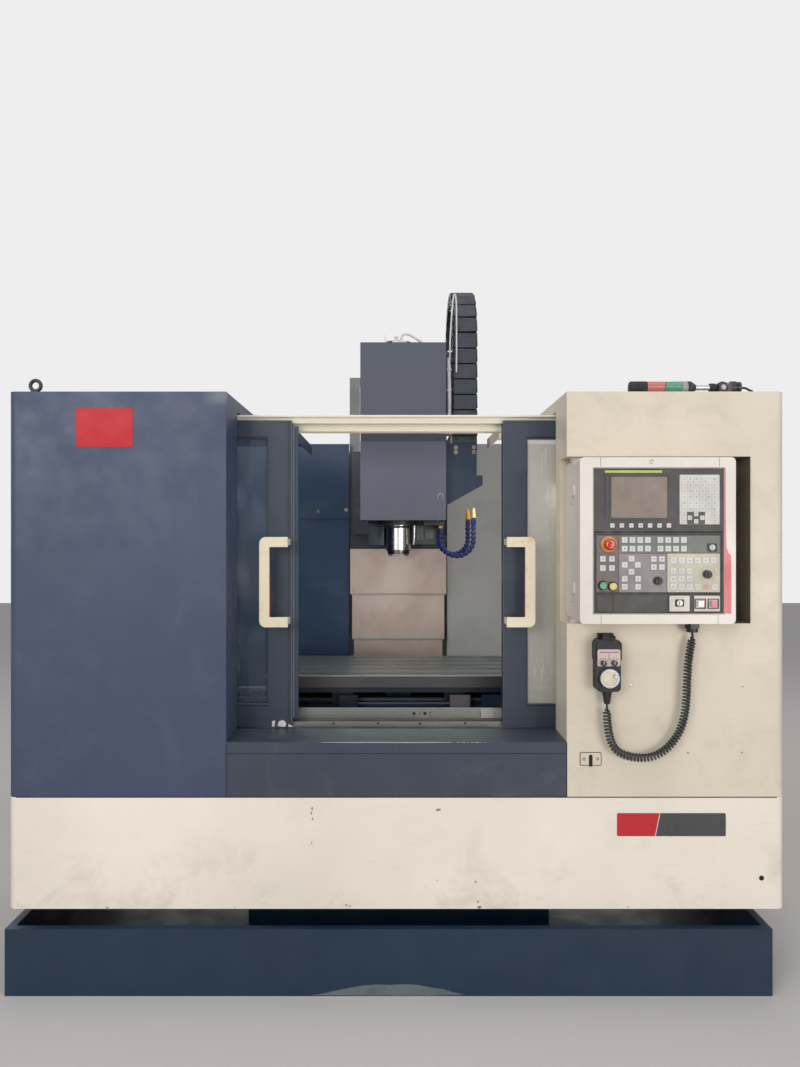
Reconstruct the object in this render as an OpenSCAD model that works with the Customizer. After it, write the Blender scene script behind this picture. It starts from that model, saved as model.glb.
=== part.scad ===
// Vertical machining centre: cast base, column, cross table and spindle head
// inside a sheet-metal enclosure with two sliding doors and an operator pendant.
// Front is -Y, up is +Z, the origin is under the middle of the machine.

/* [Enclosure] */
// Width over the two side covers
enclosure_w = 2500; // [2420:10:2600]
// Distance from the machine middle to the front skin
front_reach = 1040; // [1020:5:1060]
// Distance from the machine middle to the rear edge of the side skins
side_reach = 180; // [170:5:200]
// Thickness of the folded sheet metal
sheet_t = 3; // [2:0.5:4]
// Height of the lower edge of the front skirt
skirt_bottom_z = 258; // [240:2:270]
// Height of the joint between the skirt and the upper covers
skirt_top_z = 617; // [600:1:630]
// Height of the top of the side covers
cover_top_z = 1922; // [1905:1:1960]
// Radius of the rounded vertical corners
corner_r = 25; // [15:1:35]
// Width of the door opening between the side covers
opening_w = 1096; // [1060:2:1120]
// Height of the sill below the doors
sill_z = 794; // [785:1:800]

/* [Doors] */
// Width of one sliding door
door_w = 600; // [580:5:620]
// Thickness of a door
door_t = 45; // [35:1:45]
// Height of the top edge of the doors
door_top_z = 1857; // [1840:1:1860]
// Gap that the right door leaves from the middle when open
right_door_open = 368; // [340:1:380]
// Gap that the left door leaves from the middle when open
left_door_open = 340; // [320:1:360]
// Distance of the door face behind the front skin
door_setback = 190; // [185:1:195]
// Length of a door handle
handle_len = 304; // [260:2:340]
// Reach of a door handle in front of the door
handle_reach = 74; // [60:1:80]

/* [Coolant tank] */
// Height of the coolant tank
tank_h = 212; // [190:1:225]
// Thickness of the tank walls
tank_wall = 5; // [4:0.5:8]
// Width of the lip along the tank's upper edge
tank_lip = 25; // [18:1:35]

/* [Base and column] */
// Sideways place of the spindle, table and column middle
machine_x = 8; // [0:1:12]
// Width of the base casting
base_w = 940; // [900:5:960]
// Height of the rail pads on the base casting
base_top_z = 600; // [590:1:604]
// Height of the underside of the base casting
base_bottom_z = 80; // [60:1:100]
// Width of the column casting
column_w = 460; // [450:2:480]
// Height of the top of the column
column_top_z = 2210; // [2190:5:2240]
// Width of a linear rail
rail_w = 35; // [30:1:40]
// Height of a linear rail
rail_h = 38; // [34:1:40]
// Distance between the two rails of the Y axis
y_rail_gauge = 500; // [480:5:540]
// Distance between the two rails of the X axis
x_rail_gauge = 300; // [280:5:310]
// Distance between the two rails of the Z axis
z_rail_gauge = 330; // [310:5:340]
// Radius of the ball screws
screw_r = 16; // [14:0.5:18]

/* [Table and saddle] */
// Length of the table
table_l = 1000; // [940:10:1040]
// Depth of the table
table_d = 500; // [480:5:510]
// Thickness of the table
table_t = 68; // [64:1:72]
// Height of the table's top face
table_top_z = 935; // [932:1:945]
// Number of T-slots
slot_count = 5; // [3:1:5]
// Distance between two T-slots
slot_pitch = 100; // [90:1:105]
// Width of a T-slot's throat
slot_w = 18; // [14:1:22]
// Width of a T-slot's foot
slot_foot_w = 30; // [28:1:36]
// Depth of a saddle from front to back
saddle_d = 432; // [420:2:436]

/* [Head and spindle] */
// Distance of the spindle axis behind the front skin
spindle_setback = 676; // [670:1:684]
// Radius of the spindle nose
nose_r = 50; // [46:1:54]
// Height of the spindle's lower face
nose_z = 1385; // [1375:1:1395]
// Radius of the spindle shaft
shaft_r = 32; // [30:0.5:34]
// Width of the lower head cover
head_w = 329; // [320:1:340]
// Height of the upper head cover
upper_cover_h = 344; // [320:2:360]
// Radius of the bend in the drag chain
chain_bend_r = 215; // [200:1:225]
// Width of the drag chain
chain_w = 97; // [85:1:100]
// Length of one drag chain link
link_pitch = 60; // [55:1:66]
// Outer radius of the coolant hose segments
hose_r = 11; // [9:0.5:12]

/* [Pendant] */
// Width of the pendant housing
pendant_w = 480; // [476:1:490]
// Height of the pendant housing
pendant_h = 514; // [510:1:522]
// Depth of the pendant housing
pendant_d = 205; // [190:1:210]
// Width of the control units in the pendant
unit_w = 402; // [400:1:404]
// Side of a small square key
key_w = 17; // [14:0.5:18]
// Radius of the handwheel dial
dial_r = 30; // [26:0.5:31]
// Outer diameter of the curly handwheel cord
cord_d = 28; // [24:1:30]

/* [Hidden] */

$fn = 48;
// Running clearance between sliding pieces
gap = 0.3;
// Radial clearance of a shaft in its bore
run_fit = 0.05;
// Small overshoot of cutting shapes
eps = 1;

// Enclosure places
side_x = enclosure_w / 2;
front_y = -front_reach;
rear_y = side_reach;
open_x = opening_w / 2;
door_y = front_y + door_setback;
door_back_y = door_y + door_t;
flange_w = 30;
beam_y0 = door_y + 50;
beam_y1 = beam_y0 + 50;
beam_top_z = door_top_z + 13;
beam_h = 45;
roof_z = door_top_z - 10;
roof_rear_y = -160;
roof_side_x = 365;
riser_rear_y = -320;
guide_t = 6;

// Recess in the right cover that holds the pendant
recess_right_x = side_x - 111;
recess_depth = 107;
recess_back_y = front_y + recess_depth;
recess_z0 = 1176;
recess_h = 537;
recess_z1 = recess_z0 + recess_h;

// Coolant tank places
tank_x0 = -side_x + 9;
tank_x1 = side_x - 59;
tank_y0 = front_y - 40;
tank_y1 = side_reach + 120;
tank_notch_x = base_w / 2 + 50;
tank_notch_y = front_y + 230;

// Base and column places
base_y0 = front_y + 260;
base_y1 = 800;
base_x0 = machine_x - base_w / 2;
base_x1 = machine_x + base_w / 2;
base_wall = 30;
column_y0 = 186;
column_y1 = 786;
column_x0 = machine_x - column_w / 2;
column_x1 = machine_x + column_w / 2;
column_wall = 28;
foot_r = 55;

// Axis stack, from the base upwards
block_clear_z = 16;
y_block_top_z = base_top_z + 72;
saddle_z0 = y_block_top_z;
table_z0 = table_top_z - table_t;
saddle_z1 = table_z0 - 71;
spindle_y = front_y + spindle_setback;
saddle_y1 = spindle_y + saddle_d / 2;
x_rail_half = 690;
x_block_l = 80;
x_block_gauge = 430;
block_w = 70;
y_block_l = 110;
y_block_gauge = 260;
y_screw_z = base_top_z - 10;
x_screw_z = saddle_z1 + 36;
channel_half = 70;

// Z axis places
z_rail_y = column_y0 - rail_h;
slide_y0 = 100;
slide_y1 = z_rail_y - 4;
z_screw_y = column_y0 + 12;
z_rail_z0 = 860;
z_rail_z1 = column_top_z - 50;
head_z0 = 1410;
head_slide_z0 = 1466;
head_slide_z1 = 1850;
boss_z0 = nose_z + 25;
feed_plate_t = 18;
hose_x = machine_x + 168;
hose_y = spindle_y - 50;
cover_gap_z0 = 1821;
cover_gap_z1 = cover_top_z - 65;
cover_lower_z0 = 1519;
head_front_y = front_y + 496;
head_rear_y = -150;
head_x0 = machine_x - 147;
head_x1 = head_x0 + head_w;
upper_top_z = cover_gap_z1 + upper_cover_h;

// Telescopic cover of the Z axis
stage_w = [448, 430, 412];
stage_bottom = [1186, 976, 640];
stage_h = [head_slide_z0 - stage_bottom[0], 318, 446];
stage_step = 8;

// Drag chain places
chain_x0 = 218;
chain_front_y = -480;
chain_back_y = chain_front_y + 2 * chain_bend_r;
chain_arch_z = 2470 - chain_bend_r - 30;
chain_start_z = 1874;
chain_leg = chain_arch_z - chain_start_z;
chain_arc = PI * chain_bend_r;
chain_count = 22;
link_h = 50;
chain_tongue_r = 17;
chain_fork_r = 19;
chain_seat_z = chain_start_z - chain_tongue_r - gap;
chain_tail_z = chain_arch_z - (chain_count * link_pitch - chain_leg - chain_arc) - chain_fork_r - gap;

// Door places
stile_w = 80;
door_z0 = sill_z + 4;
window_z0 = 870;
window_z1 = door_top_z - 57;
seal_w = 23;
left_edge_x = -left_door_open;
right_edge_x = right_door_open;
glass_t = 6;
track_top_z = sill_z + 18;
handle_z0 = 1454 - handle_len;
handle_w = 34;
handle_t = 10;
handle_inset = 3;

// Pendant places
pendant_x0 = open_x + 17;
pendant_y0 = front_y - 110;
pendant_y1 = pendant_y0 + pendant_d;
pendant_z0 = recess_z0 + 10;
pendant_z1 = pendant_z0 + pendant_h;
pivot_x = pendant_x0 + 25;
pivot_y = pendant_y1 - 45;
pivot_r = 20;
unit_x0 = pendant_x0 + 42;
unit_x1 = unit_x0 + unit_w;
unit_z0 = pendant_z0 + 32;
unit_z1 = unit_z0 + 448;
unit_split_z = unit_z0 + 254;
unit_y = pendant_y0 + 4;
unit_t = 26;
key_h = 3;

// Electrical cabinet places
cabinet_x = 440;
cabinet_y0 = column_y1 + 44;
rear_reach = 1172;
cabinet_y1 = rear_reach - 24;
cabinet_z0 = 330;
cabinet_z1 = 1930;
cabinet_door_t = 20;
cabinet_wall = 4;
latch_h = 4;
hinge_x = -cabinet_x - 6.5;
hinge_y = cabinet_y1 + gap;
hinge_z = [420, 1100, 1780];
hinge_r = 6;
hinge_pin_r = 3;
hinge_l = 30;

// Tool magazine places
drum_x0 = -470;
drum_x1 = -300;
drum_y = 484;
drum_z = 1560;
drum_r = 330;
drum_wall = 4;
disc_r = drum_r - drum_wall - 22;
pot_r = 32;
pot_count = 16;
drum_axle_r = 25;

// Handwheel places
wheel_x = 669;
wheel_y = front_y - 2;
wheel_w = 84;
wheel_t = 54;
wheel_z0 = 966;
wheel_z1 = 1130;
wheel_dial_z = 1010;
wheel_knob_z = 1057;
gland_x = 940;
gland_y = front_y - 30;
gland_z = 1152;

// Signal tower places
tower_r = 21;
tower_z = cover_top_z + tower_r + gap;
tower_pivot_x = 1065;
tower_y = front_y + 50;

// Route of the curly cord, from the handset to the pendant
cord_route = [
  [669, -1070, 924], [669, -1070, 890], [672, -1070, 850], [682, -1070, 805],
  [700, -1070, 776], [730, -1070, 759], [772, -1070, 752], [812, -1070, 756],
  [846, -1070, 772], [874, -1070, 798], [896, -1070, 830], [910, -1070, 866],
  [918, -1070, 906], [922, -1070, 950], [924, -1070, 1000], [927, -1070, 1050],
  [933, -1070, 1096], [940, -1070, 1130], [940, -1070, 1152]
];
cord_sides = 10;

// Box between two opposite corners
module span(low, high) {
  translate(low) cube(high - low);
}

// Cylinder along Y from y0 to y1
module rod_y(r, x, z, y0, y1) {
  translate([x, y0, z]) rotate([-90, 0, 0]) cylinder(r = r, h = y1 - y0);
}

// Cylinder along X from x0 to x1
module rod_x(r, y, z, x0, x1) {
  translate([x0, y, z]) rotate([0, 90, 0]) cylinder(r = r, h = x1 - x0);
}

// Cylinder along Z from z0 to z1
module rod_z(r, x, y, z0, z1) {
  translate([x, y, z0]) cylinder(r = r, h = z1 - z0);
}

// Plan of a cover, with a rounded front corner where a radius is given
module cover_plan(x0, x1, y0, y1, r0, r1) {
  union() {
    translate([x0 + r0, y0]) square([x1 - x0 - r0 - r1, y1 - y0]);
    if (r0 > 0) translate([x0, y0 + r0]) square([r0 + eps, y1 - y0 - r0]);
    if (r0 > 0) translate([x0 + r0, y0 + r0]) circle(r = r0);
    if (r1 > 0) translate([x1 - r1 - eps, y0 + r1]) square([r1 + eps, y1 - y0 - r1]);
    if (r1 > 0) translate([x1 - r1, y0 + r1]) circle(r = r1);
  }
}

// Round-cornered rectangle in the XY plane
module round_rect(w, h, r) {
  union() {
    translate([r, 0]) square([w - 2 * r, h]);
    translate([0, r]) square([w, h - 2 * r]);
    for (x = [r, w - r]) for (y = [r, h - r]) translate([x, y]) circle(r = r);
  }
}

// Cross-section of a linear rail, standing on the X axis
module rail_section() {
  waist = rail_w * 0.3;
  polygon([
    [-rail_w / 2, 0], [rail_w / 2, 0], [rail_w / 2, rail_h * 0.34],
    [waist, rail_h * 0.48], [waist, rail_h * 0.6], [rail_w / 2, rail_h * 0.74],
    [rail_w / 2 - 2, rail_h], [-rail_w / 2 + 2, rail_h],
    [-rail_w / 2, rail_h * 0.74], [-waist, rail_h * 0.6],
    [-waist, rail_h * 0.48], [-rail_w / 2, rail_h * 0.34]
  ]);
}

// Rail along Y whose foot is on z
module rail_y(x, z, y0, y1) {
  translate([x, y1, z]) rotate([90, 0, 0]) linear_extrude(y1 - y0) rail_section();
}

// Rail along X whose foot is on z
module rail_x(y, z, x0, x1) {
  translate([x0, y, z]) rotate([90, 0, 90]) linear_extrude(x1 - x0) rail_section();
}

// Rail along Z whose foot is on the plane y
module rail_z(x, y, z0, z1) {
  translate([x, y, z0]) rotate([0, 0, 180]) linear_extrude(z1 - z0) rail_section();
}

// Servo motor along the local Z axis, its mounting flange at z = 0
module servo(side, len) {
  union() {
    translate([-side / 2, -side / 2, 0]) cube([side, side, 14]);
    translate([-side / 2 + 6, -side / 2 + 6, 14 - eps])
      cube([side - 12, side - 12, len * 0.62 + eps]);
    translate([0, 0, len * 0.62]) cylinder(r = side / 2 - 8, h = len * 0.38);
    translate([side / 2 - 30, -16, len * 0.4]) cube([44, 32, 40]);
  }
}

// Base casting: hollow box with rail pads, screw channel and side windows
module base_casting() {
  trough_z = base_top_z - 90;
  pad_half = 60;
  window_w = 260;
  color([0.55, 0.56, 0.55]) difference() {
    span([base_x0, base_y0, base_bottom_z], [base_x1, base_y1, base_top_z]);
    // Hollow inside, open below
    for (side = [-1, 1])
      translate([side * (base_w / 4 + 8) + machine_x, 0, 0])
        span([-base_w / 4 + base_wall, base_y0 + base_wall, base_bottom_z - eps],
          [base_w / 4 - base_wall, base_y1 - base_wall, trough_z - base_wall]);
    // Channel for the Y screw between the rails
    span([machine_x - y_rail_gauge / 2 + pad_half, base_y0 - eps, trough_z],
      [machine_x + y_rail_gauge / 2 - pad_half, column_y0 - 40, base_top_z + eps]);
    // Lowered shoulders outside the rails
    for (side = [-1, 1])
      translate([machine_x + side * (y_rail_gauge / 2 + pad_half + 200), 0, 0])
        span([-200, base_y0 - eps, trough_z], [200, column_y0 - 40, base_top_z + eps]);
    // Windows through the side walls
    for (y = [-520, -160, 520])
      span([base_x0 - eps, y, 180], [base_x0 + base_wall + 12, y + window_w, 380]);
    for (y = [-520, -160, 520])
      span([base_x1 - base_wall - 12, y, 180], [base_x1 + eps, y + window_w, 380]);
  }
  // Screw bearings at both ends of the channel
  color([0.55, 0.56, 0.55]) for (y = [base_y0, 60]) difference() {
    span([machine_x - 60, y, trough_z], [machine_x + 60, y + 50, base_top_z + 8]);
    rod_y(screw_r + run_fit, machine_x, y_screw_z, y - eps, y + 50 + eps);
  }
}

// Column casting: tapered hollow box with ribs, open at the back
module column_casting() {
  top_depth = 440;
  flange_h = 50;
  arm_z = chain_tail_z - 60;
  color([0.62, 0.6, 0.57]) difference() {
    union() {
      translate([column_x0, 0, 0]) rotate([90, 0, 90]) linear_extrude(column_w)
        polygon([
          [column_y0, base_top_z], [column_y1, base_top_z],
          [column_y1, 1100], [column_y0 + top_depth, column_top_z],
          [column_y0, column_top_z]
        ]);
      span([column_x0 - 70, column_y0, base_top_z],
        [column_x1 + 70, column_y1, base_top_z + flange_h]);
    }
    // Pockets between ribs, open at the back
    for (i = [0 : 2])
      span([column_x0 + column_wall, column_y0 + 110, base_top_z + 80 + i * 500],
        [column_x1 - column_wall, column_y1 + eps, base_top_z + 540 + i * 500]);
    // Channel for the Z screw and its nut
    span([machine_x - channel_half, column_y0 - eps, z_rail_z0 - 120],
      [machine_x + channel_half, column_y0 + 70, column_top_z - 60]);
    // Bearing bore through the top
    rod_z(screw_r + run_fit, machine_x, z_screw_y, column_top_z - 60 - eps,
       column_top_z + eps);
    // Round windows in the side walls
    for (z = [1000, 1500])
      rod_x(90, column_y0 + 260, z, column_x0 - eps, column_x1 + eps);
  }
  // Arm that holds the fixed end of the drag chain
  color([0.62, 0.6, 0.57]) union() {
    span([column_x1, column_y0 + 4, arm_z], [column_x1 + 8, column_y0 + 70, arm_z + 60]);
    span([column_x1, chain_back_y - 20, arm_z], [column_x1 + 8, column_y0 + 4 + eps, arm_z + 60]);
    span([chain_x0, chain_back_y - link_h / 2, arm_z + 54],
      [chain_x0 + chain_w, chain_back_y + link_h / 2, arm_z + 60]);
  }
}

// Six levelling feet: pad, screw and lock nut in one group
module leveling_feet() {
  foot_y = [base_y0 + 70, 10, base_y1 - 70];
  color([0.35, 0.35, 0.36]) for (side = [-1, 1]) for (y = foot_y)
    translate([machine_x + side * (base_w / 2 - 45), y, 0]) union() {
      cylinder(r = foot_r, h = 18);
      translate([0, 0, 18 - eps]) cylinder(r1 = foot_r, r2 = 26, h = 14 + eps);
      cylinder(r = 14, h = base_bottom_z);
      translate([0, 0, base_bottom_z - 16]) cylinder(r = 24, h = 16, $fn = 6);
    }
}

// Outline of the U-shaped tank, drawn in by a distance
function tank_outline(i) = [
  [tank_x0 + i, tank_y0 + i], [tank_x1 - i, tank_y0 + i],
  [tank_x1 - i, tank_y1 - i], [machine_x + tank_notch_x + i, tank_y1 - i],
  [machine_x + tank_notch_x + i, tank_notch_y - i],
  [machine_x - tank_notch_x - i, tank_notch_y - i],
  [machine_x - tank_notch_x - i, tank_y1 - i], [tank_x0 + i, tank_y1 - i]
];

// Coolant tank: open tray around the front of the base, with a folded lip
module coolant_tank() {
  color([0.17, 0.23, 0.3]) union() {
    linear_extrude(tank_wall) polygon(tank_outline(0));
    linear_extrude(tank_h) difference() {
      polygon(tank_outline(0));
      polygon(tank_outline(tank_wall));
    }
    translate([0, 0, tank_h - tank_wall]) linear_extrude(tank_wall) difference() {
      polygon(tank_outline(0));
      polygon(tank_outline(tank_lip));
    }
  }
}

// Front skirt: one folded sheet round the front and both sides
module skirt() {
  skirt_h = skirt_top_z - skirt_bottom_z;
  color([0.9, 0.87, 0.82]) union() {
    translate([0, 0, skirt_bottom_z]) linear_extrude(skirt_h) difference() {
      cover_plan(-side_x, side_x, front_y, rear_y, corner_r, corner_r);
      cover_plan(-side_x + sheet_t, side_x - sheet_t, front_y + sheet_t,
            rear_y + eps, corner_r - sheet_t, corner_r - sheet_t);
    }
    for (z = [skirt_bottom_z, skirt_top_z - sheet_t])
      translate([0, 0, z]) linear_extrude(sheet_t) difference() {
        cover_plan(-side_x, side_x, front_y, rear_y, corner_r, corner_r);
        cover_plan(-side_x + flange_w, side_x - flange_w, front_y + flange_w,
              rear_y + eps, corner_r, corner_r);
      }
  }
}

// Shell shared by both side covers, drawn for the left one
module side_cover_shell() {
  cover_h = cover_top_z - skirt_top_z;
  union() {
    translate([0, 0, skirt_top_z]) linear_extrude(cover_h) difference() {
      cover_plan(-side_x, -open_x, front_y, rear_y, corner_r, 0);
      cover_plan(-side_x + sheet_t, -open_x - sheet_t, front_y + sheet_t,
            rear_y + eps, corner_r - sheet_t, 0);
      translate([-open_x - sheet_t - eps, door_y - 10])
        square([sheet_t + 2 * eps, rear_y - door_y + 10 + eps]);
    }
    // Flange that stands on the skirt
    translate([0, 0, skirt_top_z]) linear_extrude(sheet_t) difference() {
      cover_plan(-side_x, -open_x, front_y, rear_y, corner_r, 0);
      translate([-side_x + flange_w, front_y + flange_w])
        square([side_x, rear_y - front_y + eps]);
    }
    // Top plate over the door pocket, with its inner riser
    translate([0, 0, cover_top_z - sheet_t]) linear_extrude(sheet_t)
      cover_plan(-side_x, -open_x, front_y, riser_rear_y, corner_r, 0);
    span([-open_x - sheet_t, door_y - 10 - eps, beam_top_z + guide_t + 8],
      [-open_x, riser_rear_y, cover_top_z]);
  }
}

// Shelf that closes the enclosure above the door pocket
module pocket_roof(rear) {
  span([-side_x + eps, beam_y1, roof_z - sheet_t], [-roof_side_x, rear, roof_z]);
  span([-roof_side_x - sheet_t, beam_y1, roof_z - 40], [-roof_side_x, rear, roof_z]);
}

// Left cover of the enclosure
module left_cover() {
  color([0.33, 0.36, 0.45]) union() {
    side_cover_shell();
    pocket_roof(roof_rear_y);
  }
}

// Right cover of the enclosure, with the recess for the pendant
module right_cover() {
  key_x = open_x + 42;
  color([0.88, 0.84, 0.77]) difference() {
    union() {
      difference() {
        mirror([1, 0, 0]) side_cover_shell();
        span([open_x - eps, front_y - eps, recess_z0], [recess_right_x, recess_back_y, recess_z1]);
      }
      mirror([1, 0, 0]) pocket_roof(-390);
      // Lining of the recess
      span([open_x, recess_back_y, recess_z0 - sheet_t],
        [recess_right_x + sheet_t, recess_back_y + sheet_t, recess_z1 + sheet_t]);
      span([open_x, front_y, recess_z0 - sheet_t],
        [recess_right_x + sheet_t, recess_back_y + eps, recess_z0]);
      span([open_x, front_y, recess_z1],
        [recess_right_x + sheet_t, recess_back_y + eps, recess_z1 + sheet_t]);
      span([recess_right_x, front_y, recess_z0 - eps],
        [recess_right_x + sheet_t, recess_back_y + eps, recess_z1 + eps]);
      // Latch plate low on the front
      span([key_x, front_y - 2, 720], [key_x + 68, front_y + eps, 762]);
    }
    // Bores for the pendant pivot pins
    rod_z(pivot_r + run_fit, pivot_x, pivot_y, recess_z0 - sheet_t - eps, recess_z0 + eps);
    rod_z(pivot_r + run_fit, pivot_x, pivot_y, recess_z1 - eps, recess_z1 + sheet_t + eps);
  }
}

// Sill below the doors: front plate, ledge and rear flange in one fold
module sill_panel() {
  ledge_end = door_y - 4;
  color([0.27, 0.29, 0.34]) union() {
    span([-open_x, front_y, skirt_top_z], [open_x, front_y + sheet_t, sill_z]);
    span([-open_x, front_y, sill_z - sheet_t], [open_x, ledge_end, sill_z]);
    span([-open_x, ledge_end - sheet_t, sill_z - 90], [open_x, ledge_end, sill_z]);
    span([-open_x, front_y, skirt_top_z], [open_x, front_y + flange_w, skirt_top_z + sheet_t]);
  }
}

// Beam across the top of the door opening
module front_beam() {
  beam_x = side_x - sheet_t;
  color([0.84, 0.83, 0.76]) difference() {
    span([-beam_x, beam_y0, beam_top_z - beam_h], [beam_x, beam_y1, beam_top_z]);
    span([-beam_x - eps, beam_y0 + sheet_t, beam_top_z - beam_h - eps],
      [beam_x + eps, beam_y1 - sheet_t, beam_top_z - sheet_t]);
  }
}

// Two panels that close the work space beside the column
module back_walls() {
  wall_y = side_reach - 34;
  wall_top = 1891;
  wall_bottom = skirt_top_z + sheet_t + gap;
  // Lap along the column, from above its foot to below the arm of the chain
  lap_z0 = base_top_z + 60;
  lap_z1 = chain_tail_z - 65;
  past_arm_x = column_x1 + 9;
  color([0.14, 0.2, 0.3]) union() {
    span([-side_x + sheet_t, wall_y, wall_bottom], [column_x0, wall_y + sheet_t, wall_top]);
    span([column_x0 - sheet_t, wall_y, lap_z0], [column_x0, column_y0 + 60, lap_z1]);
    span([-side_x + sheet_t, wall_y, wall_top - sheet_t], [column_x0, wall_y + 34, wall_top]);
    span([-side_x + sheet_t, wall_y - 8, 1540], [column_x0 - 10, wall_y + eps, 1552]);
  }
  color([0.5, 0.51, 0.5]) union() {
    span([column_x1, wall_y, wall_bottom], [side_x - sheet_t, wall_y + sheet_t, lap_z1]);
    span([past_arm_x, wall_y, lap_z1 - eps], [side_x - sheet_t, wall_y + sheet_t, wall_top]);
    span([column_x1, wall_y, lap_z0], [column_x1 + sheet_t, column_y0 + 60, lap_z1]);
    span([past_arm_x, wall_y, wall_top - sheet_t], [side_x - sheet_t, wall_y + 34, wall_top]);
  }
}

// Sloping chip pans round the front and both sides of the base
module chip_pan() {
  pan_t = 4;
  high_z = skirt_top_z - 40;
  low_z = base_top_z - 180;
  pan_x = side_x - sheet_t;
  pan_y0 = front_y + sheet_t;
  side_y0 = front_y + corner_r;
  color([0.2, 0.24, 0.28]) union() {
    for (side = [0, 1]) mirror([side, 0, 0]) {
      edge_x = side == 0 ? base_x1 : -base_x0;
      translate([0, rear_y - 38, 0]) rotate([90, 0, 0])
        linear_extrude(rear_y - 38 - side_y0)
          polygon([
            [edge_x, low_z], [pan_x, high_z], [pan_x, high_z + pan_t],
            [edge_x, low_z + pan_t]
          ]);
    }
    translate([base_x0 + gap, 0, 0]) rotate([90, 0, 90]) linear_extrude(base_w - 2 * gap)
      polygon([
        [pan_y0, high_z - 60], [base_y0, low_z], [base_y0, low_z + pan_t],
        [pan_y0, high_z - 60 + pan_t]
      ]);
  }
}

// Lower door track with its inner strip, and the guide above the doors
module door_tracks() {
  track_x = side_x - sheet_t;
  strip_y = door_back_y + 14;
  track_z = sill_z - 20;
  color([0.6, 0.62, 0.62]) union() {
    span([-track_x, door_y + 2, track_z - 6], [track_x, strip_y + 20, track_z]);
    span([-track_x, door_y + door_t / 2 - 3, track_z - eps], [track_x, door_y + door_t / 2 + 3, track_top_z]);
    span([-track_x, strip_y, track_z - eps], [track_x, strip_y + 4, sill_z + 16]);
    span([-track_x, strip_y + 16, track_z - eps], [track_x, strip_y + 20, sill_z + 55]);
    span([-open_x, door_y - 4, track_z - 60], [open_x, door_y + 2 + eps, track_z]);
  }
  color([0.6, 0.62, 0.62]) union() {
    span([-track_x, door_y + 4, beam_top_z], [track_x, beam_y1 - 4, beam_top_z + guide_t]);
    span([-track_x, door_y + door_t / 2 - 3, door_top_z - 8], [track_x, door_y + door_t / 2 + 3, beam_top_z + eps]);
  }
}

// Rails of the Y axis on the base and of the Z axis on the column
module linear_rails() {
  y_rail_y1 = column_y0 - 60;
  color([0.7, 0.71, 0.72]) for (side = [-1, 1]) {
    rail_y(machine_x + side * y_rail_gauge / 2, base_top_z, base_y0 + 20, y_rail_y1);
    rail_z(machine_x + side * z_rail_gauge / 2, column_y0, z_rail_z0, z_rail_z1);
  }
}

// Servo motors of the Y axis, at the base's front, and the Z axis, on the column
module axis_motors() {
  color([0.12, 0.12, 0.13]) union() {
    translate([machine_x, z_screw_y, column_top_z]) servo(150, 165);
  }
  color([0.12, 0.12, 0.13]) translate([machine_x, base_y0, y_screw_z])
    rotate([90, 0, 0]) servo(110, 170);
}

// Electrical cabinet behind the column: box open at the back, with brackets
module electrical_cabinet() {
  plate_t = 6;
  color([0.78, 0.76, 0.7]) difference() {
    union() {
      span([-cabinet_x, cabinet_y0, cabinet_z0], [cabinet_x, cabinet_y1, cabinet_z1]);
      for (x = [column_x0, column_x1 - 60]) for (z = [700, 1000])
        span([x, column_y1, z], [x + 60, cabinet_y0 + eps, z + 60]);
      // Hinge leaves, barrels and pins
      for (z = hinge_z) {
        span([hinge_x - 2, cabinet_y1 - hinge_l, z], [-cabinet_x + eps, cabinet_y1, z + hinge_l]);
        rod_z(hinge_r, hinge_x, hinge_y, z, z + hinge_l);
        rod_z(hinge_pin_r, hinge_x, hinge_y, z, z + 2 * hinge_l - 2);
      }
    }
    span([-cabinet_x + cabinet_wall, cabinet_y0 + cabinet_wall, cabinet_z0 + cabinet_wall],
      [cabinet_x - cabinet_wall, cabinet_y1 + eps, cabinet_z1 - cabinet_wall]);
    // Vent slots near the top of both sides
    for (i = [0 : 5]) for (side = [-1, 1])
      translate([side * cabinet_x, 0, cabinet_z1 - 120 - i * 24])
        span([-cabinet_wall - eps, cabinet_y0 + 60, 0],
          [cabinet_wall + eps, cabinet_y1 - 60, 8]);
  }
  // Mounting plate with drives and rails of switchgear
  color([0.7, 0.7, 0.68]) union() {
    span([-cabinet_x + 40, cabinet_y0 + cabinet_wall, cabinet_z0 + 60],
      [cabinet_x - 40, cabinet_y0 + cabinet_wall + plate_t, cabinet_z1 - 60]);
    for (i = [0 : 3])
      translate([-cabinet_x + 90 + i * 130, cabinet_y0 + cabinet_wall + plate_t - eps, 1400])
        cube([100, 120, 330]);
    for (i = [0 : 2])
      translate([-cabinet_x + 80, cabinet_y0 + cabinet_wall + plate_t - eps, 560 + i * 240])
        cube([700, 70, 90]);
  }
}

// Cabinet door with a turned edge and a flat latch
module cabinet_door() {
  color([0.78, 0.76, 0.7]) difference() {
    union() {
      span([-cabinet_x, cabinet_y1 + gap, cabinet_z0], [cabinet_x, cabinet_y1 + cabinet_door_t, cabinet_z1]);
      span([cabinet_x - 50, cabinet_y1 + cabinet_door_t - eps, 1100],
        [cabinet_x - 26, cabinet_y1 + cabinet_door_t + latch_h, 1220]);
      // Hinge leaves and bored barrels
      for (z = hinge_z) {
        span([hinge_x, hinge_y, z + hinge_l + gap],
          [-cabinet_x + eps, hinge_y + hinge_r, z + 2 * hinge_l]);
        rod_z(hinge_r, hinge_x, hinge_y, z + hinge_l + gap, z + 2 * hinge_l);
      }
    }
    for (z = hinge_z)
      rod_z(hinge_pin_r + run_fit, hinge_x, hinge_y, z + hinge_l, z + 2 * hinge_l + eps);
    span([-cabinet_x + 20, cabinet_y1 + gap - eps, cabinet_z0 + 20],
      [cabinet_x - 20, cabinet_y1 + cabinet_door_t - 3, cabinet_z1 - 20]);
  }
}

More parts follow.
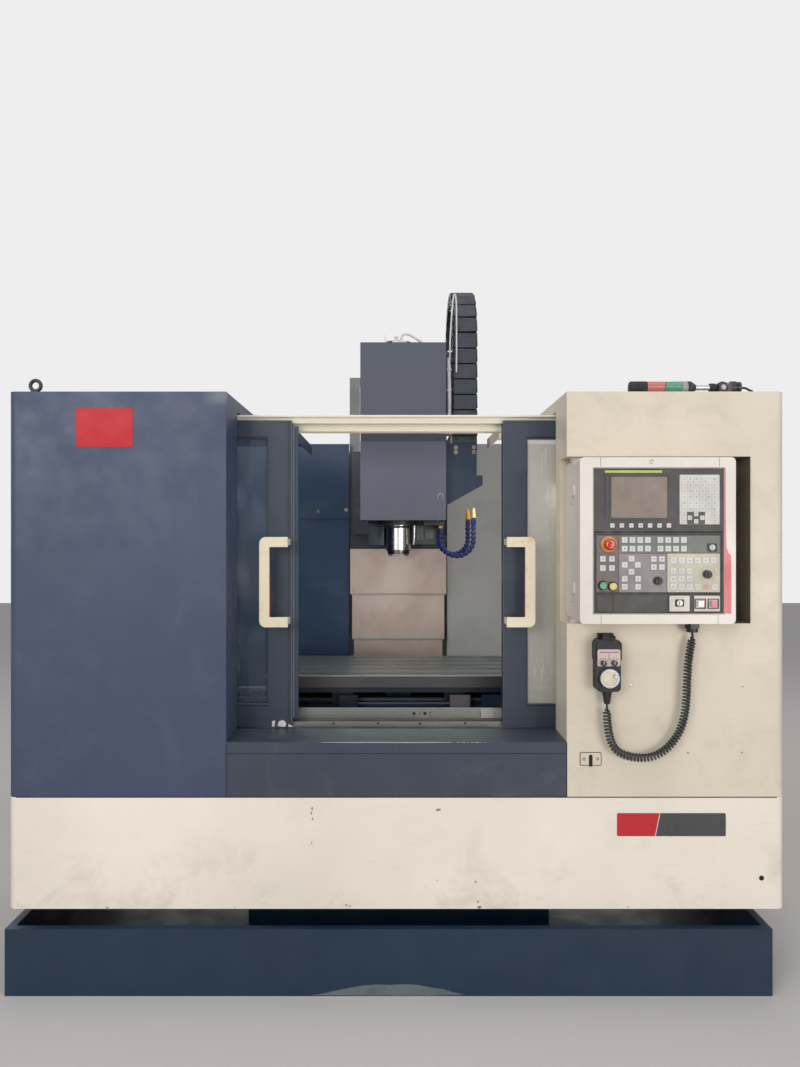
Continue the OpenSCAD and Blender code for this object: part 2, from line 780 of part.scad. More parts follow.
// Lifting eye on the left cover and fork of the signal tower on the right one
module roof_fittings() {
  eye_x = -side_x + 67;
  eye_y = front_y + 50;
  eye_r = 23;
  eye_wire = 6;
  color([0.15, 0.15, 0.16]) translate([eye_x, eye_y, cover_top_z]) union() {
    cylinder(r = 16, h = 8);
    translate([0, 0, 8 + eye_r - 3]) rotate([90, 0, 0]) rotate_extrude()
      translate([eye_r - eye_wire, 0]) circle(r = eye_wire, $fn = 24);
  }
  fork_w = 28;
  ear_t = 6;
  color([0.1, 0.1, 0.1]) union() {
    span([tower_pivot_x - fork_w / 2, tower_y - 11 - gap - ear_t, cover_top_z],
      [tower_pivot_x + 72, tower_y + 11 + gap + ear_t, cover_top_z + 2]);
    for (y = [tower_y - 11 - gap - ear_t, tower_y + 11 + gap])
      span([tower_pivot_x - fork_w / 2, y, cover_top_z],
        [tower_pivot_x + fork_w / 2, y + ear_t, tower_z + 14]);
    rod_y(6, tower_pivot_x, tower_z, tower_y - 12 - ear_t, tower_y + 12 + ear_t);
    rod_x(tower_r, tower_y, tower_z, tower_pivot_x + 28, tower_pivot_x + 44);
    rod_x(tower_r - 6, tower_y, tower_z, tower_pivot_x + 43, tower_pivot_x + 50);
    rod_x(tower_r - 2, tower_y, tower_z, tower_pivot_x + 49, tower_pivot_x + 60);
    span([tower_pivot_x + 28, tower_y - 10, cover_top_z], [tower_pivot_x + 60, tower_y + 10, tower_z]);
  }
}

// Signal tower, folded down on the right cover: three lamps, tube and joint
module signal_tower() {
  lamp_x0 = tower_pivot_x - 303;
  lamp_l = 58;
  color([0.75, 0.2, 0.2]) union() {
    rod_x(tower_r - 2, tower_y, tower_z, lamp_x0, lamp_x0 + 24);
    for (i = [0 : 2])
      rod_x(tower_r, tower_y, tower_z, lamp_x0 + 22 + i * lamp_l, lamp_x0 + 18 + (i + 1) * lamp_l);
    rod_x(tower_r - 3, tower_y, tower_z, lamp_x0 + 20, lamp_x0 + 22 + 3 * lamp_l);
    rod_x(tower_r, tower_y, tower_z, lamp_x0 + 21 + 3 * lamp_l, lamp_x0 + 42 + 3 * lamp_l);
    rod_x(9, tower_y, tower_z, lamp_x0 + 30 + 3 * lamp_l, tower_pivot_x - 16);
    rod_x(14, tower_y, tower_z, tower_pivot_x - 40, tower_pivot_x - 21);
    difference() {
      rod_y(19, tower_pivot_x, tower_z, tower_y - 11, tower_y + 11);
      rod_y(6 + run_fit, tower_pivot_x, tower_z, tower_y - 12, tower_y + 12);
    }
  }
}

// Drum of the tool magazine with its carrier to the column
module tool_magazine() {
  mouth_w = 110;
  color([0.82, 0.8, 0.74]) difference() {
    union() {
      rod_x(drum_r, drum_y, drum_z, drum_x0, drum_x1);
      span([drum_x1 - eps, drum_y - 110, drum_z - 130], [column_x0, drum_y + 110, drum_z + 130]);
    }
    rod_x(drum_r - drum_wall, drum_y, drum_z, drum_x0 + drum_wall, drum_x1 - drum_wall);
    span([drum_x0 + drum_wall + 8, drum_y - mouth_w / 2, drum_z - drum_r - eps],
      [drum_x1 - drum_wall - 8, drum_y + mouth_w / 2, drum_z - drum_r + 40]);
    span([drum_x1 + 10, drum_y - 90, drum_z - 110], [column_x0 - 10, drum_y + 90, drum_z + 131]);
  }
  // Fixed axle of the disc
  color([0.6, 0.6, 0.6]) rod_x(drum_axle_r, drum_y, drum_z, drum_x0 + drum_wall, drum_x1 - drum_wall);
}

// Magazine disc with its ring of closed tool pots
module magazine_disc() {
  disc_x0 = drum_x0 + drum_wall + 12;
  hub_x1 = drum_x1 - drum_wall - 12;
  color([0.25, 0.25, 0.26]) difference() {
    union() {
      rod_x(disc_r, drum_y, drum_z, disc_x0, disc_x0 + 16);
      rod_x(60, drum_y, drum_z, disc_x0, hub_x1);
      for (i = [0 : pot_count - 1])
        translate([0, drum_y, drum_z]) rotate([i * 360 / pot_count, 0, 0])
          rod_x(pot_r, 0, disc_r - pot_r - 6, disc_x0 + 15, disc_x0 + 110);
    }
    rod_x(drum_axle_r + run_fit, drum_y, drum_z, drum_x0 + drum_wall, drum_x1);
    for (i = [0 : 5])
      translate([0, drum_y, drum_z]) rotate([i * 60, 0, 0])
        rod_x(38, 0, disc_r / 2, disc_x0 - eps, disc_x0 + 16 + eps);
  }
}

// Ball screw of the Y axis, in its two bearings
module y_ballscrew() {
  screw_y1 = 60 + 50;
  color([0.72, 0.72, 0.72]) rod_y(screw_r, machine_x, y_screw_z, base_y0 + gap, screw_y1 - gap);
}

// Carriage block that runs on a rail along X, centred on x and y
module x_block(x, y) {
  difference() {
    span([x - x_block_l / 2, y - block_w / 2, saddle_z1 + block_clear_z],
      [x + x_block_l / 2, y + block_w / 2, table_z0 + eps]);
    span([x - x_block_l, y - rail_w / 2 - gap, saddle_z1],
      [x + x_block_l, y + rail_w / 2 + gap, saddle_z1 + rail_h + gap]);
  }
}

// Carriage block that runs on a rail along Y, centred on x and y
module y_block(x, y) {
  difference() {
    span([x - block_w / 2, y - y_block_l / 2, base_top_z + block_clear_z],
      [x + block_w / 2, y + y_block_l / 2, y_block_top_z + eps]);
    span([x - rail_w / 2 - gap, y - y_block_l, base_top_z],
      [x + rail_w / 2 + gap, y + y_block_l, base_top_z + rail_h + gap]);
  }
}

// Saddle with its Y carriages and nut below and the X rails and bearings above
module saddle() {
  wing_z = saddle_z1 - 46;
  core_x = 330;
  nut_w = 90;
  color([0.56, 0.57, 0.57]) difference() {
    union() {
      translate([machine_x, saddle_y1, 0]) rotate([90, 0, 0]) linear_extrude(saddle_d)
        polygon([
          [-core_x, saddle_z0], [core_x, saddle_z0], [core_x + 90, wing_z],
          [x_rail_half, wing_z + 10], [x_rail_half, saddle_z1],
          [-x_rail_half, saddle_z1], [-x_rail_half, wing_z + 10],
          [-core_x - 90, wing_z]
        ]);
      for (side = [-1, 1]) for (end = [-1, 1])
        y_block(machine_x + side * y_rail_gauge / 2, spindle_y + end * y_block_gauge / 2);
      span([machine_x - nut_w / 2, spindle_y - 60, y_screw_z - 45],
        [machine_x + nut_w / 2, spindle_y + 60, saddle_z0 + eps]);
      // Bearings of the X screw at both ends
      for (x = [-x_rail_half, x_rail_half - 40])
        translate([machine_x + x, 0, 0])
          span([0, spindle_y - 50, saddle_z1 - eps], [40, spindle_y + 50, x_screw_z + 28]);
      for (side = [-1, 1])
        rail_x(spindle_y + side * x_rail_gauge / 2, saddle_z1 - gap / 4,
            machine_x - x_rail_half, machine_x + x_rail_half);
    }
    rod_y(screw_r + run_fit, machine_x, y_screw_z, spindle_y - 61, spindle_y + 61);
    rod_x(screw_r + run_fit, spindle_y, x_screw_z, machine_x - x_rail_half - eps,
       machine_x + x_rail_half + eps);
  }
}

// Ball screw of the X axis, carried by the saddle
module x_ballscrew() {
  color([0.72, 0.72, 0.72]) rod_x(screw_r, spindle_y, x_screw_z, machine_x - x_rail_half + gap,
                  machine_x + x_rail_half - gap);
}

// Servo motor of the X axis on the saddle's right end
module x_motor() {
  color([0.12, 0.12, 0.13]) translate([machine_x + x_rail_half, spindle_y, x_screw_z])
    rotate([0, 90, 0]) servo(2 * (table_z0 - x_screw_z) - 4, 170);
}

// Table with its T-slots, X carriages and screw nut
module table() {
  slot_d = 18;
  foot_h = 12;
  first_y = spindle_y - (slot_count - 1) * slot_pitch / 2;
  x0 = machine_x - table_l / 2;
  x1 = machine_x + table_l / 2;
  color([0.5, 0.51, 0.5]) difference() {
    union() {
      span([x0, spindle_y - table_d / 2, table_top_z - 45],
        [x1, spindle_y + table_d / 2, table_top_z]);
      span([x0 + 30, spindle_y - table_d / 2 + 24, table_z0],
        [x1 - 30, spindle_y + table_d / 2 - 24, table_top_z - 45 + eps]);
      for (side = [-1, 1]) for (end = [-1, 1])
        x_block(machine_x + side * x_block_gauge / 2, spindle_y + end * x_rail_gauge / 2);
      span([machine_x - 50, spindle_y - 40, saddle_z1 + 6],
        [machine_x + 50, spindle_y + 40, table_z0 + eps]);
    }
    for (i = [0 : slot_count - 1])
      translate([0, first_y + i * slot_pitch, 0]) {
        span([x0 - eps, -slot_w / 2, table_top_z - slot_d],
          [x1 + eps, slot_w / 2, table_top_z + eps]);
        span([x0 - eps, -slot_foot_w / 2, table_top_z - slot_d - foot_h],
          [x1 + eps, slot_foot_w / 2, table_top_z - slot_d + 0.01]);
      }
    rod_x(screw_r + run_fit, spindle_y, x_screw_z, machine_x - 51, machine_x + 51);
  }
}

// Ball screw of the Z axis, hanging in the column's top bearing
module z_ballscrew() {
  color([0.72, 0.72, 0.72])
    rod_z(screw_r, machine_x, z_screw_y, z_rail_z0, column_top_z - gap);
}

// Spindle head: slide with its carriages, nose boss and motor bracket
module head_casting() {
  arm_w = head_w * 2 / 3;
  arm_x0 = machine_x - arm_w / 2;
  arm_x1 = machine_x + arm_w / 2;
  slide_half = (z_rail_gauge + block_w + 20) / 2;
  front_edge = spindle_y - 88;
  color([0.3, 0.31, 0.34]) difference() {
    union() {
      translate([arm_x0, 0, 0]) rotate([90, 0, 90]) linear_extrude(arm_x1 - arm_x0)
        polygon([
          [slide_y0 + eps, head_z0], [slide_y0 + eps, head_slide_z1],
          [front_edge, head_slide_z1], [front_edge, cover_lower_z0],
          [-60, cover_lower_z0]
        ]);
      span([machine_x - slide_half, slide_y0, head_slide_z0],
        [machine_x + slide_half, slide_y1, head_slide_z1]);
      // Carriages on the Z rails
      for (side = [-1, 1]) for (z = [head_slide_z0 + 8, head_slide_z1 - 140])
        span([machine_x + side * z_rail_gauge / 2 - block_w / 2, slide_y1 - eps, z],
          [machine_x + side * z_rail_gauge / 2 + block_w / 2, column_y0 - block_clear_z, z + 120]);
      // Nut bracket reaching into the column
      span([machine_x - 45, slide_y1 - eps, 1560], [machine_x + 45, z_screw_y + 40, 1680]);
      // Round boss behind the spindle nose and the flange at its root
      rod_z(92, machine_x - 34, spindle_y + 90, boss_z0 + 10, cover_lower_z0 + eps);
      rod_z(nose_r + 24, machine_x, spindle_y, cover_lower_z0 - feed_plate_t, cover_lower_z0 + eps);
      // Cap plate under the upper cover
      span([head_x0 + 2, head_front_y + 2, cover_gap_z0], [head_x1 - 2, head_rear_y, cover_gap_z1]);
      // Block that feeds the coolant hoses
      span([machine_x + 70, spindle_y + 10, boss_z0 + 14],
        [hose_x - hose_r - 3, spindle_y + 90, cover_lower_z0 + eps]);
      span([machine_x + 100, hose_y - 20, cover_lower_z0 - feed_plate_t],
        [hose_x + 14, spindle_y + 10 + eps, cover_lower_z0 - gap]);
    }
    // Channels for the rails
    for (side = [-1, 1])
      span([machine_x + side * z_rail_gauge / 2 - rail_w / 2 - gap, z_rail_y - gap, head_z0 - eps],
        [machine_x + side * z_rail_gauge / 2 + rail_w / 2 + gap, column_y0 + eps, head_slide_z1 + eps]);
    rod_z(screw_r + run_fit, machine_x, z_screw_y, 1559, 1681);
    // Bore of the spindle cartridge
    rod_z(nose_r + 8 + run_fit, machine_x, spindle_y, boss_z0, head_slide_z1 - 20);
  }
}

// One open-backed sheet cover of the head
module head_shell(z0, z1, closed_top) {
  difference() {
    span([head_x0, head_front_y, z0], [head_x1, head_rear_y, z1]);
    span([head_x0 + sheet_t, head_front_y + sheet_t, z0 - eps],
      [head_x1 - sheet_t, head_rear_y + eps, closed_top ? z1 - sheet_t : z1 + eps]);
  }
}

// Sheet covers of the head, with the bracket for the drag chain at the right
module head_covers() {
  plate_y = chain_front_y;
  color([0.33, 0.34, 0.38]) difference() {
    head_shell(cover_gap_z1, upper_top_z, true);
    rod_z(70, machine_x, spindle_y + 120, upper_top_z - sheet_t - eps, upper_top_z + eps);
  }
  color([0.33, 0.34, 0.38]) head_shell(cover_lower_z0, cover_gap_z0, false);
  color([0.2, 0.25, 0.32]) union() {
    translate([0, plate_y + 2, 0]) rotate([90, 0, 0]) linear_extrude(5)
      polygon([
        [head_x1, 1575], [head_x1 + 147, 1657], [head_x1 + 147, 1695],
        [head_x1 + 124, 1695], [head_x1 + 124, 1821], [head_x1, 1821]
      ]);
    span([chain_x0, plate_y - 3, 1790], [chain_x0 + chain_w, plate_y + link_h / 2, 1800]);
    span([chain_x0, plate_y - link_h / 2, chain_seat_z - 6],
      [chain_x0 + chain_w, plate_y + link_h / 2, chain_seat_z]);
    span([chain_x0, plate_y - 3, 1790], [chain_x0 + chain_w, plate_y + 2, chain_seat_z]);
  }
}

// Spindle cartridge: flanged sleeve whose nose shows below the head
module spindle_cartridge() {
  sleeve_r = nose_r + 8;
  sleeve_z0 = cover_lower_z0 - feed_plate_t;
  color([0.75, 0.75, 0.76]) difference() {
    union() {
      rod_z(nose_r, machine_x, spindle_y, nose_z + 13, sleeve_z0 + eps);
      rod_z(sleeve_r, machine_x, spindle_y, sleeve_z0, head_slide_z1 - 40);
    }
    rod_z(shaft_r + run_fit, machine_x, spindle_y, nose_z, head_slide_z1);
  }
}

// Spindle shaft with its nose ring, drive keys and tool taper
module spindle_shaft() {
  taper_r = 22.2;
  taper_end_r = 12.6;
  taper_l = 66;
  color([0.6, 0.6, 0.62]) difference() {
    union() {
      rod_z(shaft_r, machine_x, spindle_y, nose_z, head_slide_z1 - 41);
      rod_z(nose_r - 6, machine_x, spindle_y, nose_z, nose_z + 12.5);
      for (side = [-1, 1])
        span([machine_x + side * 32 - 8, spindle_y - 8, nose_z - 8],
          [machine_x + side * 32 + 8, spindle_y + 8, nose_z + eps]);
    }
    translate([machine_x, spindle_y, nose_z]) rotate_extrude()
      polygon([[0, -eps], [taper_r, -eps], [taper_r, 0], [taper_end_r, taper_l], [0, taper_l]]);
  }
}

// Spindle motor on the head, with the unclamp cylinder above it
module spindle_motor() {
  motor_y = spindle_y + 120;
  base_z = cover_gap_z1;
  color([0.2, 0.2, 0.22]) union() {
    span([machine_x - 100, motor_y - 100, base_z], [machine_x + 100, motor_y + 100, base_z + 230]);
    rod_z(66, machine_x, motor_y, base_z + 229, upper_top_z + 14);
    rod_z(24, machine_x + 10, motor_y, upper_top_z + 13, upper_top_z + 26);
    span([machine_x - 60, motor_y - 30, upper_top_z + 13], [machine_x - 20, motor_y + 30, upper_top_z + 24]);
  }
}

// One barrel of a segmented hose on its small ball
module hose_segment(len) {
  end_gap = 2.6;
  sphere(r = hose_r - 4);
  rotate_extrude() polygon([
    [0, end_gap], [hose_r - 2, end_gap], [hose_r, len * 0.35], [hose_r, len * 0.55],
    [hose_r - 3, len - end_gap], [0, len - end_gap]
  ]);
}

// Segmented coolant hose: down, round a U and up to its nozzle
module segment_hose(bend_r) {
  bend_z = nose_z + 59;
  arc_n = 11;
  turn = 180 / arc_n;
  step = 2 * bend_r * sin(turn / 2);
  down_n = 2;
  up_n = 3;
  nozzle_z = bend_z + up_n * step;
  for (i = [1 : down_n]) translate([0, 0, bend_z + i * step]) rotate([180, 0, 0]) hose_segment(step);
  for (i = [0 : arc_n - 1])
    translate([bend_r * (1 - cos(i * turn)), 0, bend_z - bend_r * sin(i * turn)])
      rotate([0, 180 - (i + 0.5) * turn, 0]) hose_segment(step);
  for (i = [0 : up_n - 1]) translate([2 * bend_r, 0, bend_z + i * step]) hose_segment(step);
  rod_z(hose_r - 3, 0, 0, bend_z + down_n * step + 2, cover_lower_z0 - feed_plate_t - gap);
  translate([2 * bend_r, 0, nozzle_z]) sphere(r = hose_r - 4);
  translate([2 * bend_r, 0, nozzle_z]) rotate_extrude()
    polygon([[0, 2], [hose_r - 1, 2], [hose_r - 1, 22], [hose_r - 2, 22], [3, 68], [0, 68]]);
}

// Two coolant hoses that hang below the head and turn up again
module coolant_hoses() {
  color([0.1, 0.12, 0.35]) union() {
    translate([hose_x, hose_y, 0]) segment_hose(66);
    translate([hose_x - 6, hose_y + 2 * hose_r + 2, 0]) rotate([0, 0, 8]) segment_hose(60);
  }
}

// Point of the drag chain's middle line at the length s, as y and z
function chain_point(s) =
  let (turn = min(max(s - chain_leg, 0) / chain_bend_r * 180 / PI, 180))
  [
    chain_front_y + chain_bend_r * (1 - cos(turn)),
    chain_arch_z + min(s - chain_leg, 0) + chain_bend_r * sin(turn) - max(s - chain_leg - chain_arc, 0)
  ];

// One chain link: inner tongues below, outer forks above, two cross bars
module chain_link() {
  layer = 4;
  half = link_h / 2;
  for (side = [0, 1]) translate([side * chain_w, 0, 0]) mirror([side, 0, 0]) {
    rod_x(chain_tongue_r, 0, 0, layer + gap, 2 * layer);
    span([layer + gap, -chain_tongue_r, 0], [2 * layer, chain_tongue_r, 40]);
    span([layer, -half, 22], [2 * layer, half, 40]);
    span([0, -half, 22], [layer + eps, half, 40]);
    span([0, -chain_fork_r, 22], [layer, chain_fork_r, link_pitch]);
    rod_x(chain_fork_r, 0, link_pitch, 0, layer);
  }
  for (y = [-half, half - 5]) {
    span([layer, y, 24], [chain_w - layer, y + 5, 38]);
    // Lid that closes the link between its own side plates
    span([2 * layer + gap, y, 6], [chain_w - 2 * layer - gap, y + 4, link_pitch - 7]);
  }
}

// Drag chain that leads the head's lines over to the column
module drag_chain() {
  color([0.13, 0.14, 0.17]) union() for (i = [0 : chain_count - 1]) {
    p = chain_point(i * link_pitch);
    step = chain_point((i + 1) * link_pitch) - p;
    translate([chain_x0, p[0], p[1]]) rotate([-atan2(step[0], step[1]), 0, 0]) chain_link();
  }
}

// One stage of the telescopic cover, folded back at both sides and on top
module cover_stage(i) {
  w = stage_w[i];
  y0 = slide_y0 + 16 + i * stage_step;
  z0 = stage_bottom[i];
  z1 = z0 + stage_h[i];
  lip = 8;
  span([machine_x - w / 2, y0, z0], [machine_x + w / 2, y0 + 2, z1]);
  for (side = [-1, 1])
    span([machine_x + side * (w / 2 - 1) - 1, y0, z0],
      [machine_x + side * (w / 2 - 1) + 1, y0 + lip, z1]);
  span([machine_x - w / 2, y0, z0], [machine_x + w / 2, y0 + stage_step - gap, z0 + 2]);
}

// Upper stage, fixed under the head
module z_cover_upper() {
  color([0.65, 0.59, 0.55]) union() {
    cover_stage(0);
    span([machine_x - stage_w[0] / 2 + 20, slide_y0 + 16, head_slide_z0 - 4],
      [machine_x + stage_w[0] / 2 - 20, slide_y1, head_slide_z0]);
  }
}

// Middle stage, drawn along at half the head's travel
module z_cover_middle() {
  color([0.65, 0.59, 0.55]) cover_stage(1);
}

// Lower stage, fixed on the base
module z_cover_lower() {
  color([0.65, 0.59, 0.55]) union() {
    cover_stage(2);
    span([machine_x - stage_w[2] / 2, slide_y0 + 16 + 2 * stage_step, stage_bottom[2]],
      [machine_x + stage_w[2] / 2, column_y0, stage_bottom[2] + 4]);
  }
}

// Sliding door drawn with its leading edge at x = 0, reaching to +X
module door_frame() {
  groove = 4;
  difference() {
    span([0, door_y, door_z0], [door_w, door_back_y, door_top_z]);
    span([stile_w, door_y - eps, window_z0], [door_w - stile_w, door_back_y + eps, window_z1]);
    // Hollow back of the frame
    span([8, door_y + 12, door_z0 + 60], [stile_w - 14, door_back_y + eps, door_top_z - 20]);
    // Grooves for the lower track and the upper guide
    span([-eps, door_y + door_t / 2 - 3 - groove, door_z0 - eps],
      [door_w + eps, door_y + door_t / 2 + 3 + groove, track_top_z + gap]);
    span([-eps, door_y + door_t / 2 - 3 - groove, door_top_z - 12],
      [door_w + eps, door_y + door_t / 2 + 3 + groove, door_top_z + eps]);
  }
}

// Left sliding door with the rubber seal on its leading edge
module door_left() {
  seal_t = 16;
  color([0.3, 0.31, 0.37]) translate([left_edge_x - seal_w, 0, 0]) mirror([1, 0, 0])
    door_frame_short();
  color([0.1, 0.1, 0.11]) span([left_edge_x - seal_w - eps, door_y + 6, door_z0 + 30],
    [left_edge_x - gap, door_y + 6 + seal_t, door_top_z - 20]);
}

// Left door frame, shorter by the width of the seal
module door_frame_short() {
  difference() {
    door_frame();
    span([door_w - seal_w, door_y - eps, door_z0 - eps], [door_w + eps, door_back_y + eps, door_top_z + eps]);
  }
}

// Right sliding door
module door_right() {
  color([0.3, 0.31, 0.37]) translate([right_edge_x + gap, 0, 0]) door_frame();
}

// Window pane that fits in the door's opening
module door_pane() {
  pane_y = door_y + 14;
  span([stile_w + gap, pane_y, window_z0 + gap], [door_w - stile_w - gap, pane_y + glass_t, window_z1 - gap]);
}

// Window of the left door
module door_left_glass() {
  color([0.5, 0.55, 0.58, 0.5]) translate([left_edge_x - seal_w, 0, 0]) mirror([1, 0, 0]) door_pane();
}

// Window of the right door
module door_right_glass() {
  color([0.5, 0.55, 0.58, 0.5]) translate([right_edge_x + gap, 0, 0]) door_pane();
}

// C-shaped flat-bar handle, drawn from the stile outwards to +X
module door_handle(root_x) {
  bar = 34;
  grip_y = door_y - handle_reach;
  translate([root_x, 0, handle_z0]) difference() {
    union() {
      // Outline of the C, seen from the front, with rounded corners
      translate([0, grip_y + handle_t, 0]) rotate([90, 0, 0]) linear_extrude(handle_t) difference() {
        round_rect(96, handle_len, 22);
        translate([-eps, bar]) square([96 - handle_w + eps, handle_len - 2 * bar]);
      }
      // Legs back to the stile
      for (z = [0, handle_len - bar])
        span([0, grip_y + handle_t - eps, z + 6], [26, door_y, z + bar - 6]);
    }
  }
}

// Handle of the left door
module door_left_handle() {
  color([0.9, 0.85, 0.76]) mirror([1, 0, 0]) door_handle(-left_edge_x + seal_w + handle_inset);
}

// Handle of the right door
module door_right_handle() {
  color([0.9, 0.85, 0.76]) door_handle(right_edge_x + gap + handle_inset);
}

// Places on the control panel, from the lower left corner of the units
function on_panel(u, v) = [unit_x0 + u, unit_z0 + v];
stop_at = on_panel(46.7, 213.5);
start_at = on_panel(28.7, 86.6);
hold_at = on_panel(58.9, 84.2);
mode_at = on_panel(198.1, 100.8);
feed_at = on_panel(350.3, 121.1);
program_at = on_panel(365.7, 203.7);
power_key_at = on_panel(265, 32.7);
power_on_at = on_panel(328.4, 30.4);
power_off_at = on_panel(368.4, 30.4);
stem_r = 6;
stem_l = 20;
stop_r = 18;
round_button_r = 11;
panel_knob_r = 13;
lock_r = 9;
square_button_w = 18;

// Pendant housing: box with a front pocket, pivot pins and cable gland
module pendant_box() {
  edge_r = 14;
  color([0.86, 0.76, 0.74]) difference() {
    union() {
      translate([pendant_x0, pendant_y1, pendant_z0]) rotate([90, 0, 0])
        linear_extrude(pendant_d) round_rect(pendant_w, pendant_h, edge_r);
      rod_z(pivot_r, pivot_x, pivot_y, recess_z0 - sheet_t, pendant_z0 + eps);
      rod_z(pivot_r, pivot_x, pivot_y, pendant_z1 - eps, recess_z1 + sheet_t);
      // Latches on the left side
      for (z = [pendant_z0 + 90, pendant_z0 + 400])
        span([pendant_x0 - 5, pendant_y0 + 70, z], [pendant_x0 + eps, pendant_y0 + 95, z + 34]);
    }
    span([unit_x0, pendant_y0 - eps, unit_z0], [unit_x1, unit_y + unit_t + 12, unit_z1]);
    span([unit_x0 + 30, unit_y + unit_t, unit_z0 + 30], [unit_x1 - 30, unit_y + unit_t + 60, unit_z1 - 30]);
  }
  // Cable gland under the housing
  color([0.1, 0.1, 0.1]) union() {
    rod_z(18, gland_x, gland_y, gland_z, gland_z + 22);
    translate([gland_x, gland_y, gland_z + 12]) cylinder(r = 23, h = pendant_z0 - gland_z - 12, $fn = 6);
  }
}

// Upper control unit: bezel with the display and the key field
module controller_unit() {
  display = [175, 129];
  color([0.2, 0.2, 0.22]) difference() {
    span([unit_x0, unit_y, unit_split_z], [unit_x1, unit_y + unit_t + 12, unit_z1]);
    translate([unit_x0 + 55, unit_y - eps, unit_split_z + 40])
      cube([display[0], 3 + eps, display[1]]);
  }
}

// Lower operator panel, bored for every switch that it carries
module operator_panel() {
  round_places = [stop_at, start_at, hold_at, mode_at, feed_at, program_at,
          power_key_at, power_on_at, power_off_at];
  strip_h = 56;
  color([0.16, 0.16, 0.18]) difference() {
    union() {
      span([unit_x0, unit_y, unit_z0], [unit_x1, unit_y + unit_t, unit_split_z]);
      // Yellow ring plate of the stop button
      rod_y(24.6, stop_at[0], stop_at[1], unit_y - 3, unit_y + eps);
      // Raised plates of the strip at the bottom
      span([unit_x0 + 10, unit_y - 2, unit_z0 + 6], [unit_x0 + 58, unit_y + eps, unit_z0 + strip_h]);
      span([unit_x0 + 233, unit_y - 2, unit_z0 + 6], [unit_x0 + 297, unit_y + eps, unit_z0 + strip_h]);
      span([unit_x0 + 309, unit_y - 2, unit_z0 + 6], [unit_x0 + 390, unit_y + eps, unit_z0 + strip_h]);
    }
    for (p = round_places)
      rod_y(stem_r + run_fit, p[0], p[1], unit_y - 4, unit_y + unit_t + eps);
  }
}

// Grid of square keys, from the middle of its lower left key
module key_grid(u, v, columns, rows, pitch_u, pitch_v, w) {
  for (i = [0 : columns - 1]) for (j = [0 : rows - 1])
    translate([unit_x0 + u + i * pitch_u - w / 2, unit_y - key_h, unit_z0 + v + j * pitch_v - w / 2])
      cube([w, key_h, w]);
}

// All small keys of both units
module panel_keys() {
  small = 15;
  color([0.85, 0.85, 0.84]) {
    // Upper unit: key field and the row below the display
    key_grid(279.9, 322, 6, 6, 18.7, 18.5, small);
    key_grid(279.9, 285, 2, 2, 93.5, 18.5, small);
    key_grid(58.4, 271.5, 7, 1, 29, 29, 13);
    // Cursor keys in the corner of the key field
    key_grid(297, 295.3, 2, 1, 38.4, 20, 13);
    key_grid(316.2, 284.5, 1, 2, 20, 22, 13);
    // Lower unit: two blocks of mode keys
    key_grid(96.2, 200.3, 4, 2, 23.8, 26.5, key_w);
    key_grid(206.1, 200.3, 4, 2, 24.1, 26.5, key_w);
    key_grid(29, 140.5, 2, 2, 27.7, 28.4, key_w);
    // Axis keys in the pattern of a cross
    key_grid(96.2, 150.4, 2, 1, 40.3, 20, key_w);
    key_grid(117.1, 169.5, 1, 1, 20, 20, key_w);
    key_grid(117.1, 128.8, 1, 1, 20, 20, key_w);
    key_grid(96.2, 82.6, 2, 2, 41.2, 24.7, key_w);
    key_grid(185.8, 143.6, 2, 2, 24.9, 24.6, key_w);
    key_grid(245.9, 163.9, 6, 1, 24.8, 20, key_w);
    key_grid(245.9, 82.6, 3, 3, 24.9, 24.4, key_w);
    key_grid(321.6, 82.6, 3, 1, 26.2, 20, key_w);
  }
}

// Stem that guides a switch in the operator panel
module switch_stem(at) {
  rod_y(stem_r, at[0], at[1], unit_y - 6, unit_y - 6 + stem_l);
}

// Emergency stop: mushroom head on its stem
module e_stop() {
  color([0.8, 0.1, 0.1]) union() {
    rod_y(stem_r, stop_at[0], stop_at[1], unit_y - 12, unit_y + stem_l - 6);
    translate([stop_at[0], unit_y - 10, stop_at[1]]) rotate([90, 0, 0]) rotate_extrude()
      polygon([[0, 0], [stop_r - 4, 0], [stop_r, 4], [stop_r, 9], [stop_r - 5, 14], [0, 16]]);
  }
}

// Round push button with a shallow dish
module push_button(at) {
  difference() {
    union() {
      rod_y(stem_r, at[0], at[1], unit_y - 8, unit_y + stem_l - 6);
      rod_y(round_button_r, at[0], at[1], unit_y - 12, unit_y - 5);
    }
    rod_y(round_button_r - 3, at[0], at[1], unit_y - 13, unit_y - 11);
  }
}

// Green cycle start button
module start_button() {
  color([0.1, 0.6, 0.3]) push_button(start_at);
}

// Yellow feed hold button
module hold_button() {
  color([0.85, 0.7, 0.15]) push_button(hold_at);
}

// Rotary knob with a pointer ridge
module rotary_knob(at) {
  union() {
    switch_stem(at);
    rod_y(panel_knob_r, at[0], at[1], unit_y - 10, unit_y - gap);
    rod_y(panel_knob_r - 3, at[0], at[1], unit_y - 14, unit_y - 9);
    span([at[0] - 2, unit_y - 17, at[1] - 9], [at[0] + 2, unit_y - 13, at[1] + panel_knob_r - 1]);
  }
}

// Mode selector knob
module mode_knob() {
  color([0.08, 0.08, 0.08]) rotary_knob(mode_at);
}

// Feed override knob
module feed_knob() {
  color([0.08, 0.08, 0.08]) rotary_knob(feed_at);
}

// Rotor of a key switch, with its key bow
module key_rotor(at, plate) {
  union() {
    switch_stem(at);
    rod_y(lock_r, at[0], at[1], unit_y - plate - 5, unit_y - plate - gap);
    span([at[0] - 1.5, unit_y - plate - 9, at[1] - 7], [at[0] + 1.5, unit_y - plate - 4, at[1] + 7]);
  }
}

